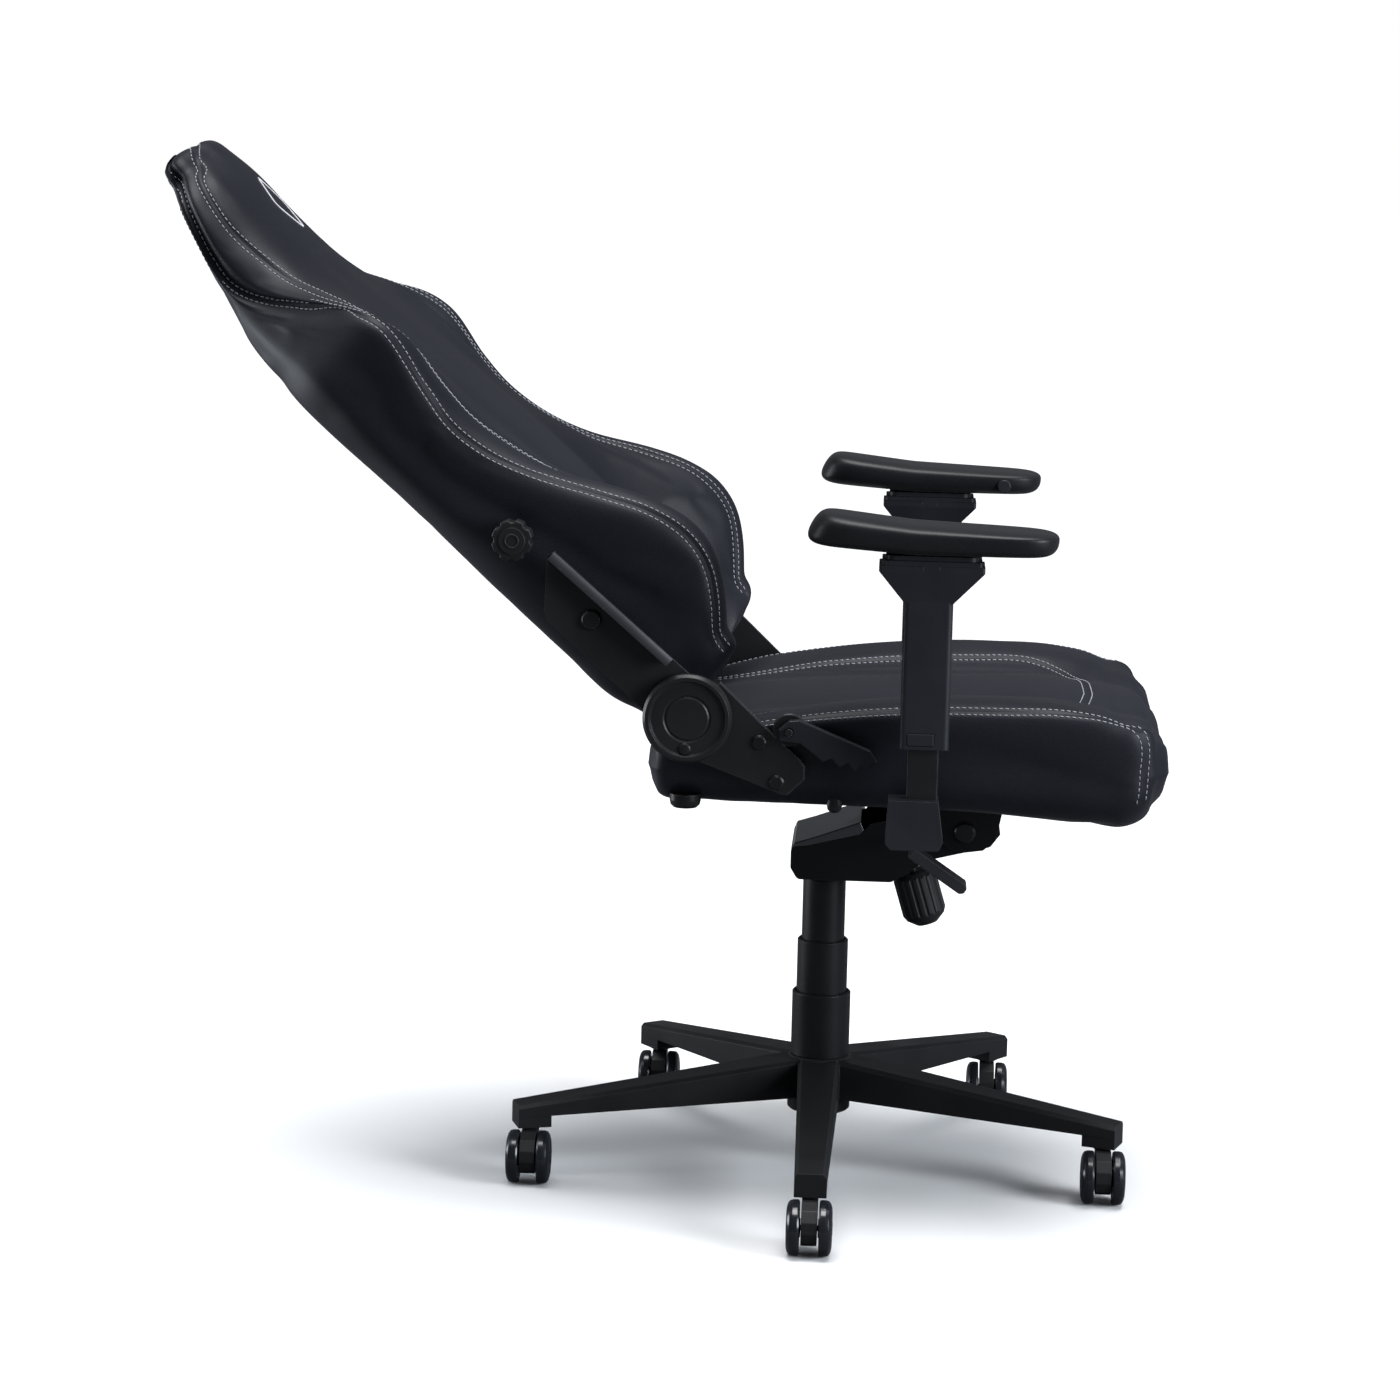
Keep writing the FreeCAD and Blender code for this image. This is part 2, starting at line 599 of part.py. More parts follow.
back_near = "bracket_side + bracket_thickness + 1"
cover_near = "bracket_side + 2 * bracket_thickness + 2"
cover_parts = []
turning_plates = []
for label, side in SIDES:
    # Only the right plate carries the lever, so only it has the ear around the lever's pin.
    ear = [("18", "-38", "551")] if side < 0 else []
    seat_side = side_plate(
        "seat_side_" + label,
        [("-113", "601"), ("-52", "543"), ("-27", "521"), ("-20", "512"), ("-20", "498"),
         ("-38", "480"), ("-44", "480"), ("-181", "531")],
        "bracket_side", "bracket_thickness", side,
        discs=[("recliner_radius - 4", "recline_x", "recline_z"), *ear],
        holes=[("6", "recline_x", "recline_z")])
    round_edges(seat_side, seat_side.Tip, "1.2",
                level(side * (value("bracket_side") + value("bracket_thickness")), Y_AXIS),
                "Chamfer")
    keep(seat_side, "recliner_bracket_" + label)

    back_side = side_plate(
        "back_side_" + label,
        [("-293", "737"), ("-165", "626"), ("-106", "575"), ("-160", "525"), ("-197", "571"),
         ("-300", "663"), ("-303", "674"), ("-301", "733")],
        back_near, "bracket_thickness - 1", side,
        discs=[("recliner_radius - 6", "recline_x", "recline_z")],
        holes=[("12 + running_gap", "recline_x", "recline_z"), ("5", "-252", "665")])
    flange = new_sketch(back_side, "XZ_Plane", f"-({back_near})" if side > 0 else back_near)
    outline(flange, [("-293", "737"), ("-165", "626"), ("-168.3", "622.2"),
                     ("-296.3", "733.2")])
    lip = extrude(back_side, flange, "22", reverse=side > 0)
    round_edges(back_side, lip, "1.2",
                level(side * (value(back_near) + 22), Y_AXIS), "Chamfer")
    turning_plates.append(back_side)

    # the cover's hub passes through the turning plate and stands on the seat's plate
    dome = turned("dome_" + label, [
        ("0", "-7"), ("12", "-7"), ("12", "0"), ("recliner_radius - 2", "0"),
        ("recliner_radius", "2"), ("recliner_radius", "10"), ("recliner_radius - 3", "14"),
        ("recliner_radius - 7", "14"), ("recliner_radius - 9", "11"),
        ("26", "11"), ("24", "9.5"), ("22", "11"), ("0", "11")])
    place(dome, "recline_x", f"{side} * ({cover_near} - 1)", "recline_z",
          TO_Y if side > 0 else TO_MINUS_Y)
    cover_parts.append(dome)
keep(group("round_covers", cover_parts), "recliner_covers")
keep(group("turning_plates", turning_plates), "back_brackets")

cross_rod = rod("cross_rod", "6", "2 * (bracket_side + bracket_thickness)",
                ("recline_x", "-bracket_side - bracket_thickness", "recline_z"), TO_Y)
keep(cross_rod, "recliner_cross_rod")

grip = side_plate(
    "grip", [("-48", "541"), ("-49", "553"), ("-38", "563"), ("-27", "564"), ("49", "533"),
             ("57", "521"), ("47", "513"), ("41", "517"), ("33", "511"), ("26", "520"),
             ("17", "515"), ("8", "524"), ("-1", "520"), ("-15", "531"), ("-26", "539")],
    "bracket_side + 8", "11", -1, holes=[("4 + running_gap", "-38", "551")])
round_edges(grip, grip.Tip, "1.5", level(-value("bracket_side") - 19, Y_AXIS))
keep(grip, "recline_lever")
grip_pin = rod("grip_pin", "4", "23", ("-38", "-bracket_side", "551"), TO_MINUS_Y)
grip_boss = rod("grip_boss", "7", "7.7", ("-38", "-bracket_side", "551"), TO_MINUS_Y)
bracket = fuse("recliner_right", [nodes["recliner_bracket_right"], grip_boss, grip_pin])
keep(bracket, "recliner_bracket_right")

# ---------------------------------------------------------------------------------------
# Back: steel frame and lumbar plate inside a foam body with side wings and a head
# ---------------------------------------------------------------------------------------

lean = math.radians(value("recline_angle"))
UP = Vector(-math.sin(lean), 0, math.cos(lean))
OUT = Vector(math.cos(lean), 0, math.sin(lean))
PIVOT = Vector(value("recline_x"), 0, value("recline_z"))
BACK_TURN = Rotation(UP, Y_AXIS, OUT, "XZY")


def on_back(up, out, across=0):
    """A point given by its distance up the back, out of its face and to the left."""
    return PIVOT + UP * up + OUT * out + Y_AXIS * across


def back_ring(up, half_width, rear, wing, middle):
    """The back's outline across it: flat behind, a wing at each side, a lower middle."""
    edge = min(22, (wing - rear) / 4)
    points = [(rear, half_width - 26), (rear + edge, half_width), (wing - edge, half_width),
              (wing - edge / 4, half_width - 8), (wing, half_width - 28), (wing - 5, half_width - 62),
              (middle, half_width - 92)]
    return mirrored_ring([on_back(up, out, across) for out, across in points])


back_rings = [
    back_ring(8, 222, -28, 64, 34), back_ring(40, 248, -44, 101, 45),
    back_ring(130, 256, -45, 150, 56), back_ring(210, 256, -45, 127, 62),
    back_ring(300, 250, -45, 85, 58), back_ring(390, 246, -45, 67, 52),
    back_ring(490, 246, -45, 82, 52), back_ring(560, 222, -45, 72, 56),
    back_ring(625, 176, -50, 66, 62), back_ring(700, 154, -30, 71, 69),
    back_ring(765, 140, 2, 75, 73), back_ring(808, 108, 32, 72, 72),
]
back_foam = doc.addObject("Part::Feature", "back_foam")
back_foam.Shape = Part.makeLoft(back_rings, True, True)


def back_box(name, low, high):
    """A box along the back, from low to high in (up, out, across)."""
    box = doc.addObject("Part::Box", name)
    box.Length = high[0] - low[0]
    box.Width = high[2] - low[2]
    box.Height = high[1] - low[1]
    box.Placement = Placement(on_back(low[0], low[1], high[2]), BACK_TURN)
    return box


back_bars = bar_frame("back_bars", "back_frame_length - 60", "2 * back_frame_side", 3,
                      "back_frame_depth")
back_bars.Placement = Placement(on_back(60, 0), BACK_TURN)
shaft_place = on_back(value("lumbar_up"), value("lumbar_out"))
shaft_start = (str(shaft_place.x), "-bracket_side", str(shaft_place.z))
shaft_way = rod("shaft_way", "lumbar_shaft + 0.5", "200", shaft_start, TO_Y)

bolt_heads = []
for label, side in SIDES:
    bolt = turned("back_bolt_" + label, [
        ("0", "-100"), ("5", "-100"), ("5", "0"), ("11", "0"), ("11", "3"), ("9", "5"),
        ("0", "5")])
    place(bolt, "-252", f"{side} * ({back_near} + bracket_thickness - 1)", "665",
          TO_Y if side > 0 else TO_MINUS_Y)
    bolt_heads.append(bolt)
back_bolts = keep(group("back_fasteners", bolt_heads), "back_bolts")
back_frame = keep(cut("back_bars", back_bars, [back_bolts, shaft_way]), "back_frame")

lumbar_room = back_box("lumbar_room", (195, 2, -112), (305, 50, 112))

# the foam lies in front of the frame and the padded rear panel behind it
behind = back_box("behind_foam", (-60, -100, -300), (900, value("back_frame_depth"), 300))
before = back_box("before_panel", (-60, 0, -300), (900, 260, 300))
keep(cut("back_foam", back_foam, [behind, lumbar_room, shaft_way, back_bolts]), "back_cushion")
keep(cut("back_rear", back_foam, [before, shaft_way, back_bolts]), "back_panel")
keep(back_box("lumbar_pusher", (200, 18, -105), (300, 26, 105)), "lumbar_plate")

dial = new_body("dial")
rim = new_sketch(dial, "XY_Plane")
circle(rim, "lumbar_knob_radius")
drum = extrude(dial, rim, "22")
scallop = new_sketch(dial, "XY_Plane")
circle(scallop, "5", "lumbar_knob_radius + 2.6")
bite = extrude(dial, scallop, "22", reverse=True, cut=True)
bites = dial.newObject("PartDesign::PolarPattern", "bites")
bites.Originals = [bite]
bites.Axis = (next(o for o in dial.Origin.OriginFeatures if o.Role == "Z_Axis"), [""])
bites.Angle = 360
bites.Occurrences = 8
dial.Tip = bites
doc.recompute()
round_edges(dial, bites, "2", level(22))
cap = new_sketch(dial, "XY_Plane", "22")
circle(cap, "lumbar_knob_radius - 8")
extrude(dial, cap, "1.5")
stub = new_sketch(dial, "XY_Plane")
circle(stub, "lumbar_shaft")
extrude(dial, stub, "195", reverse=True)
place(dial, str(shaft_place.x), "-bracket_side", str(shaft_place.z), TO_MINUS_Y)
keep(dial, "lumbar_knob")

# ---------------------------------------------------------------------------------------
# Armrests: bracket and post on the seat, sliding sleeve, two plates, pad and its button
# ---------------------------------------------------------------------------------------

bracket_pair = []
post_pair = []
shroud_pair = []


def arm_place(node, side, turn=None):
    return place(node, "0", f"{side} * arm_side", "0", turn)


for label, side in SIDES:
    strip = new_body("strip_" + label)
    bend = new_sketch(strip, "YZ_Plane", "97")
    outline(bend, [("-212", "458"), ("-16", "458"), ("-16", "486"), ("-22", "486"),
                   ("-22", "464"), ("-212", "464")])
    extrude(strip, bend, "42", symmetric=True)
    if side > 0:
        arm_place(strip, side)
    else:
        arm_place(strip, side, Rotation(Z_AXIS, 180))
        strip.setExpression("Placement.Base.x", bound("2 * 97"))
    bracket_pair.append(strip)

    post = new_body("post_" + label)
    foot = new_sketch(post, "XY_Plane", "post_low")
    box_outline(foot, ("post_rear", "-post_thickness / 2"), ("post_front", "post_thickness / 2"))
    column = extrude(post, foot, "post_high - post_low")
    round_edges(post, column, "2", along(Z_AXIS))
    arm_place(post, side)
    post_pair.append(post)

    shroud = new_body("shroud_" + label)
    shape = new_sketch(shroud, "XZ_Plane", "22" if side < 0 else "15.5")
    outline(shape, [("70", "490"), ("123", "490"), ("129", "446"), ("125", "437"),
                    ("74", "437"), ("68", "443")])
    casing = extrude(shroud, shape, "37.5", reverse=True)
    round_edges(shroud, casing, "4", lambda edge: along(Y_AXIS)(edge)
                and edge.CenterOfMass.z < 480)
    slot = new_sketch(shroud, "XY_Plane", "490")
    box_outline(slot, ("post_rear", "-post_thickness / 2"), ("post_front", "post_thickness / 2"))
    extrude(shroud, slot, "490 - post_low", cut=True)
    arm_place(shroud, side)
    shroud_pair.append(shroud)

    sleeve = new_body("sleeve_" + label)
    tube = new_sketch(sleeve, "XY_Plane", "sleeve_low")
    box_outline(tube, ("sleeve_rear", "-sleeve_thickness / 2"),
                ("sleeve_front", "sleeve_thickness / 2"))
    column = extrude(sleeve, tube, "160")
    round_edges(sleeve, column, "6", along(Z_AXIS))
    neck = new_sketch(sleeve, "XY_Plane", "sleeve_low + 155")
    box_outline(neck, ("sleeve_rear + 1", "1 - sleeve_thickness / 2"),
                ("sleeve_front - 1", "sleeve_thickness / 2 - 1"))
    crown = new_sketch(sleeve, "XY_Plane", "head_top - 6")
    box_outline(crown, ("53", "-head_thickness / 2"), ("164", "head_thickness / 2"))
    flare = sleeve.newObject("PartDesign::AdditiveLoft", "flare_" + label)
    flare.Profile = neck
    flare.Sections = [crown]
    doc.recompute()
    top = new_sketch(sleeve, "XY_Plane", "head_top - 6")
    box_outline(top, ("53", "-head_thickness / 2"), ("164", "head_thickness / 2"))
    head = extrude(sleeve, top, "6")
    round_edges(sleeve, head, "3", lambda edge: along(Z_AXIS)(edge)
                and edge.CenterOfMass.z > 730)
    inside = new_sketch(sleeve, "XY_Plane", "sleeve_low")
    box_outline(inside, (f"post_rear - running_gap", f"-post_thickness / 2 - running_gap"),
                (f"post_front + running_gap", f"post_thickness / 2 + running_gap"))
    extrude(sleeve, inside, "732 - sleeve_low", reverse=True, cut=True)
    guide = new_sketch(sleeve, "YZ_Plane", "99.9")
    box_outline(guide, ("-40", "head_top - 4.2"), ("40", "head_top + 1"))
    extrude(sleeve, guide, "17.2", reverse=True, cut=True)
    pocket = new_sketch(sleeve, "XZ_Plane",
                        "sleeve_thickness / 2" if side < 0 else "-sleeve_thickness / 2")
    box_outline(pocket, ("87.5", "548.5"), ("116.5", "562.5"))
    extrude(sleeve, pocket, "9", reverse=side > 0, cut=True)
    arm_place(sleeve, side)
    keep(sleeve, "arm_sleeve_" + label)

    button = new_body("button_" + label)
    face = new_sketch(button, "XZ_Plane", "20" if side < 0 else "-20")
    box_outline(face, ("88", "549"), ("116", "562"))
    key = extrude(button, face, "7", reverse=side < 0)
    round_edges(button, key, "1", level(side * 20, Y_AXIS))
    arm_place(button, side)
    keep(button, "arm_button_" + label)

    slide = new_body("slide_" + label)
    plate = new_sketch(slide, "XY_Plane", "head_top + 0.3")
    box_outline(plate, ("56", "-head_thickness / 2"), ("161", "head_thickness / 2"))
    slab = extrude(slide, plate, "5")
    round_edges(slide, slab, "3", along(Z_AXIS))
    tongue = new_sketch(slide, "XY_Plane", "head_top - 4")
    box_outline(tongue, ("100", "-head_thickness / 2"), ("117", "head_thickness / 2"))
    extrude(slide, tongue, "4.3")
    socket = new_sketch(slide, "XY_Plane", "head_top + 5.3")
    circle(socket, "8 + running_gap", "108.5")
    extrude(slide, socket, "5.2", cut=True)
    arm_place(slide, side)
    keep(slide, "arm_slide_plate_" + label)

    swivel = new_body("swivel_" + label)
    disc = new_sketch(swivel, "XY_Plane", "head_top + 5.6")
    box_outline(disc, ("60", "-28"), ("157", "28"))
    slab = extrude(swivel, disc, "5")
    round_edges(swivel, slab, "10", along(Z_AXIS))
    rail = new_sketch(swivel, "XY_Plane", "pad_low - 0.4")
    box_outline(rail, ("60", "-8"), ("157", "8"))
    extrude(swivel, rail, "4")
    pin = new_sketch(swivel, "XY_Plane", "head_top + 0.5")
    circle(pin, "8", "108.5")
    extrude(swivel, pin, "5.1")
    arm_place(swivel, side)
    keep(swivel, "arm_swivel_plate_" + label)

    rest = new_body("rest_" + label)
    plan = new_sketch(rest, "XY_Plane", "pad_low")
    box_outline(plan, ("pad_rear", "-pad_width / 2"), ("pad_front", "pad_width / 2"))
    block = extrude(rest, plan, "pad_height")
    round_edges(rest, block, "26", along(Z_AXIS))
    slope = new_sketch(rest, "XZ_Plane")
    outline(slope, [("pad_rear - 1", "pad_low + pad_height"),
                    ("pad_front + 1", "pad_low + pad_height - 12"),
                    ("pad_front + 1", "pad_low + pad_height + 5"),
                    ("pad_rear - 1", "pad_low + pad_height + 5")])
    wedge = extrude(rest, slope, "2 * pad_width", symmetric=True, cut=True)
    soft = round_edges(rest, wedge, "9", lambda edge: edge.CenterOfMass.z > 775)
    round_edges(rest, soft, "4", level(value("pad_low")))
    groove = new_sketch(rest, "XY_Plane", "pad_low")
    box_outline(groove, ("28", "-8.1"), ("189", "8.1"))
    extrude(rest, groove, "4.5", reverse=True, cut=True)
    seat = new_sketch(rest, "XZ_Plane", f"{side} * (pad_width / 2 + 1)")
    circle(seat, "8.4", "196", "pad_low + 12")
    extrude(rest, seat, "9", reverse=side < 0, cut=True)
    arm_place(rest, side)
    keep(rest, "arm_pad_" + label)

    press = new_body("press_" + label)
    dome = new_sketch(press, "XZ_Plane", f"{side} * (pad_width / 2 + 1.5)")
    circle(dome, "8", "196", "pad_low + 12")
    key = extrude(press, dome, "5.5", reverse=side > 0)
    round_edges(press, key, "1.5", level(-side * (value("pad_width") / 2 + 1.5), Y_AXIS))
    arm_place(press, side)
    keep(press, "pad_button_" + label)

keep(group("bracket_pair", bracket_pair), "arm_brackets")
keep(group("post_pair", post_pair), "arm_posts")
keep(group("shroud_pair", shroud_pair), "arm_shrouds")

# ---------------------------------------------------------------------------------------
# Seat fasteners and feet, and the seat's foam round them
# ---------------------------------------------------------------------------------------

fasteners = []
for x, y, under in ((-24, 55, 459), (164, 55, 459), (97, 197, 458)):
    for side in (-1, 1):
        screw = turned(f"screw_{len(fasteners)}", [
            ("0", "-4"), ("7", "-4"), ("7", "0"), ("4", "0"), ("4", "38"), ("0", "38")])
        fasteners.append(place(screw, str(x), str(side * y), str(under)))
for x, radius, under in ((12, 8.5, 456), (-150, 17, 457)):
    for side in (-1, 1):
        foot = turned(f"foot_{len(fasteners)}", [
            ("0", "0"), (f"{radius} - 4", "0"), (f"{radius} - 1", "3"), (str(radius), "8"),
            (str(radius), str(472 - under)), ("0", str(472 - under))])
        fasteners.append(place(foot, str(x), str(side * 225), str(under)))
for label, side in SIDES:
    for x, z, depth in ((-70, 537, 6), (-50, 494, 60)):
        screw = turned(f"side_screw_{len(fasteners)}", [
            ("0", f"-{depth}"), ("4", f"-{depth}"), ("4", "0"), ("8", "0"), ("8", "2"),
            ("6", "3.5"), ("0", "3.5")])
        place(screw, str(x), f"{side} * (bracket_side + bracket_thickness)", str(z),
              TO_Y if side > 0 else TO_MINUS_Y)
        fasteners.append(screw)
pivot_half = "tray_width / 2 + 5.5"
pivot = turned("tilt_pin", [
    ("0", f"-({pivot_half}) - 5"), ("10", f"-({pivot_half}) - 5"), ("12", f"-({pivot_half}) - 3"),
    ("12", f"-({pivot_half})"), ("tilt_pin_radius", f"-({pivot_half})"),
    ("tilt_pin_radius", pivot_half), ("12", pivot_half), ("12", f"{pivot_half} + 3"),
    ("10", f"{pivot_half} + 5"), ("0", f"{pivot_half} + 5")])
fasteners.append(place(pivot, "tilt_x", "0", "tilt_z", TO_Y))
seat_bolts = keep(group("seat_fasteners", fasteners), "seat_bolts")
drilled = cut("seat_bars", seat_frame, [seat_bolts])
keep(drilled, "seat_frame")

# the foam lies on the frame, and the seat's padded underside is fixed below it
below = doc.addObject("Part::Box", "below_foam")
above = doc.addObject("Part::Box", "above_underside")
for block, low_edge, height in ((below, "seat_frame_low - 100", "100 + seat_frame_depth"),
                                (above, "seat_frame_low", "200")):
    block.Length, block.Width = 700, 700
    block.setExpression("Height", bound(height))
    place(block, "-300", "-350", low_edge)
keep(cut("seat_top", seat_foam, [below, seat_bolts]), "seat_cushion")
keep(cut("seat_bottom", seat_foam, [above, seat_bolts]), "seat_underside")

# drill the plates, brackets and side plates for the screws that pass through them
for label in ("seat_plate", "recliner_bracket_right", "recliner_bracket_left", "arm_brackets"):
    keep(cut(label + "_drilled", nodes[label], [seat_bolts]), label)

# ---------------------------------------------------------------------------------------
# Checks and export
# ---------------------------------------------------------------------------------------

doc.recompute()
for item in doc.Objects:
    if "Invalid" in item.State or "Error" in item.State:
        raise RuntimeError(f"{item.Name} failed: {item.State}")
for label, node in nodes.items():
    shape = node.Shape
    if shape.isNull() or not shape.isValid() or not shape.Solids:
        raise RuntimeError(f"{label} has no valid solid")
    print(f"{label}: {len(shape.Solids)} solids, {shape.Volume / 1000:.1f} cm3")
for label, node in nodes.items():
    node.Shape.exportStep(f"parts/{label}.step")
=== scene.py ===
import json
import math

import bpy
import numpy as np
from mathutils import Matrix, Vector
from mathutils.bvhtree import BVHTree


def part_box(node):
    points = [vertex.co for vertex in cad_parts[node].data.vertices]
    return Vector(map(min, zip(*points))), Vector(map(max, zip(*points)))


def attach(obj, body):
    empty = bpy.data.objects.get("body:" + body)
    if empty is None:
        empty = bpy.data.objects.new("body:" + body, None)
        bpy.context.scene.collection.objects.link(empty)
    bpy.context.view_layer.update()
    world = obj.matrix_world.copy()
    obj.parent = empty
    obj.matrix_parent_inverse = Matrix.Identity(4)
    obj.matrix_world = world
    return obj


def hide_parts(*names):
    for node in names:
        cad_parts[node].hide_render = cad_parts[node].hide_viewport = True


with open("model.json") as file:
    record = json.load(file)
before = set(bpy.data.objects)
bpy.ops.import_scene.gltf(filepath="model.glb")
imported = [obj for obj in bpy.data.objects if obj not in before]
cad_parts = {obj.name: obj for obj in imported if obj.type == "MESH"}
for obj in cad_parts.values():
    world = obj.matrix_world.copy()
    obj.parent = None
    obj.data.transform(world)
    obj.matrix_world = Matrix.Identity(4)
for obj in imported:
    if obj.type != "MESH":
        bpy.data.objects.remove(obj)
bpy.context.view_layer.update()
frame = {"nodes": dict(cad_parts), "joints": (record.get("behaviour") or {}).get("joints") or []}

# ---------------------------------------------------------------------------------------
# Studio. A pale seamless floor under a broad overhead light, with a strong softbox in front
# of the sitter and weaker ones overhead and behind. The camera stands off the sitter's
# right side, a little above the seat, and looks slightly down.

heading, tilt, roll = math.radians(-2.855), math.radians(9.300), math.radians(1.328)
ahead = Vector((math.sin(heading) * math.cos(tilt), math.cos(heading) * math.cos(tilt),
                -math.sin(tilt)))
level = Vector((math.cos(heading), -math.sin(heading), 0))
upright = level.cross(ahead)
right = level * math.cos(roll) + upright * math.sin(roll)
top = upright * math.cos(roll) - level * math.sin(roll)
camera = bpy.data.objects.new("camera", bpy.data.cameras.new("camera"))
bpy.context.collection.objects.link(camera)
camera.data.sensor_width = 36
camera.data.lens = 101.16
camera.matrix_world = (Matrix.Translation((0.0726, -4.4164, 1.2618))
                       @ Matrix((right, top, -ahead)).transposed().to_4x4())
bpy.context.scene.camera = camera


def softbox(name, place, aim, width, height, watts):
    """A cool white rectangular area light at a place, turned towards a point."""
    lamp = bpy.data.lights.new(name, "AREA")
    lamp.shape = "RECTANGLE"
    lamp.size, lamp.size_y, lamp.energy = width, height, watts
    lamp.color = (0.88, 0.94, 1)
    holder = bpy.data.objects.new(name, lamp)
    bpy.context.collection.objects.link(holder)
    holder.location = place
    holder.rotation_euler = (Vector(aim) - Vector(place)).to_track_quat("-Z", "Y").to_euler()


softbox("overhead", (0.4, -0.2, 3.4), (0, 0, 0.5), 2.6, 2.6, 18)
softbox("front", (3.2, -1.9, 1.5), (0, 0, 0.6), 1.6, 2.0, 150)
softbox("behind", (-2.6, -0.6, 2.6), (-0.3, 0, 0.7), 1.2, 1.8, 9)
softbox("low_behind", (-2.6, 0.4, 0.7), (-0.3, 0, 0.8), 1.4, 1.4, 40)
ceiling = bpy.data.lights.new("ceiling", "SUN")
ceiling.energy, ceiling.angle = 3.5, math.radians(40)
ceiling_light = bpy.data.objects.new("ceiling", ceiling)
bpy.context.collection.objects.link(ceiling_light)
bpy.context.scene.view_settings.view_transform = "Standard"

sky = bpy.data.worlds.new("studio_air")
bpy.context.scene.world = sky
sky.use_nodes = True
air = sky.node_tree
seen = air.nodes.new("ShaderNodeBackground")
seen.inputs["Color"].default_value = (1, 1, 1, 1)
felt = air.nodes["Background"]
felt.inputs["Color"].default_value = (0.86, 0.92, 1, 1)
felt.inputs["Strength"].default_value = 0.12
choice = air.nodes.new("ShaderNodeMixShader")
eye = air.nodes.new("ShaderNodeLightPath")
air.links.new(eye.outputs["Is Camera Ray"], choice.inputs[0])
air.links.new(felt.outputs[0], choice.inputs[1])
air.links.new(seen.outputs[0], choice.inputs[2])
air.links.new(choice.outputs[0], air.nodes["World Output"].inputs["Surface"])


def new_finish(name, roughness, metallic=0.0, specular=0.5):
    """A material with its shader and the object coordinates that its patterns read."""
    material = bpy.data.materials.new(name)
    material.use_nodes = True
    tree = material.node_tree
    shader = tree.nodes["Principled BSDF"]
    shader.inputs["Roughness"].default_value = roughness
    shader.inputs["Metallic"].default_value = metallic
    shader.inputs["Specular IOR Level"].default_value = specular
    coordinates = tree.nodes.new("ShaderNodeTexCoord").outputs["Object"]
    return material, tree, shader, coordinates


def noise(tree, coordinates, per_metre, detail=3.0, stretch=(1, 1, 1)):
    """Cloudy noise with so many features in a metre, drawn out along the axes."""
    spread = tree.nodes.new("ShaderNodeMapping")
    spread.inputs["Scale"].default_value = stretch
    tree.links.new(coordinates, spread.inputs["Vector"])
    cloud = tree.nodes.new("ShaderNodeTexNoise")
    cloud.inputs["Scale"].default_value = per_metre
    cloud.inputs["Detail"].default_value = detail
    tree.links.new(spread.outputs["Vector"], cloud.inputs["Vector"])
    return cloud.outputs["Fac"]


def between(tree, amount, low, high, start=0.3, end=0.7):
    """A number that runs from low to high as amount runs from start to end."""
    ramp = tree.nodes.new("ShaderNodeMapRange")
    for socket, number in zip(("From Min", "From Max", "To Min", "To Max"),
                              (start, end, low, high)):
        ramp.inputs[socket].default_value = number
    tree.links.new(amount, ramp.inputs["Value"])
    return ramp.outputs["Result"]


def tint(tree, amount, first, second):
    """A colour that runs from first to second with an amount."""
    mix = tree.nodes.new("ShaderNodeMix")
    mix.data_type = "RGBA"
    for socket, colour in ((mix.inputs[6], first), (mix.inputs[7], second)):
        if isinstance(colour, tuple):
            socket.default_value = (*colour, 1)
        else:
            tree.links.new(colour, socket)
    tree.links.new(amount, mix.inputs[0])
    return mix.outputs[2]


def relief(tree, shader, heights, under=None):
    """Bumps laid one on another: each height has its strength and its depth in metres."""
    for height, strength, depth in heights:
        bump = tree.nodes.new("ShaderNodeBump")
        bump.inputs["Strength"].default_value = strength
        bump.inputs["Distance"].default_value = depth
        tree.links.new(height, bump.inputs["Height"])
        if under is not None:
            tree.links.new(under, bump.inputs["Normal"])
        under = bump.outputs["Normal"]
    tree.links.new(under, shader.inputs["Normal"])


# the floor is pale to the eye but throws little light up, so the chair's sides stay dark
floor_finish, tree, shader, coordinates = new_finish("pale_floor", 0.75, 0.0, 0.0)
pale = tint(tree, noise(tree, coordinates, 1.5), (0.89, 0.89, 0.9), (0.92, 0.92, 0.92))
viewed = tree.nodes.new("ShaderNodeLightPath")
tree.links.new(tint(tree, viewed.outputs["Is Camera Ray"], (0.13, 0.13, 0.14), pale),
               shader.inputs["Base Color"])
ground = bpy.data.meshes.new("floor")
ground.from_pydata([(-30, -30, 0), (30, -30, 0), (30, 30, 0), (-30, 30, 0)], [],
                   [(0, 1, 2, 3)])
ground.materials.append(floor_finish)
floor = bpy.data.objects.new("floor", ground)
bpy.context.collection.objects.link(floor)

# ---------------------------------------------------------------------------------------
# Base. The star is one aluminium casting with a black powder coat: a fine orange peel and edges
# rubbed a little lighter.


def edge_wear_and_highlight(tree, radius):
    """How far a point lies on an edge: 0 on flats, towards 1 where the surface turns."""
    rounded = tree.nodes.new("ShaderNodeBevel")
    rounded.samples = 4
    rounded.inputs["Radius"].default_value = radius
    flat = tree.nodes.new("ShaderNodeNewGeometry")
    agree = tree.nodes.new("ShaderNodeVectorMath")
    agree.operation = "DOT_PRODUCT"
    tree.links.new(rounded.outputs["Normal"], agree.inputs[0])
    tree.links.new(flat.outputs["Normal"], agree.inputs[1])
    return rounded.outputs["Normal"], between(tree, agree.outputs["Value"], 1, 0, 0.82, 0.99)


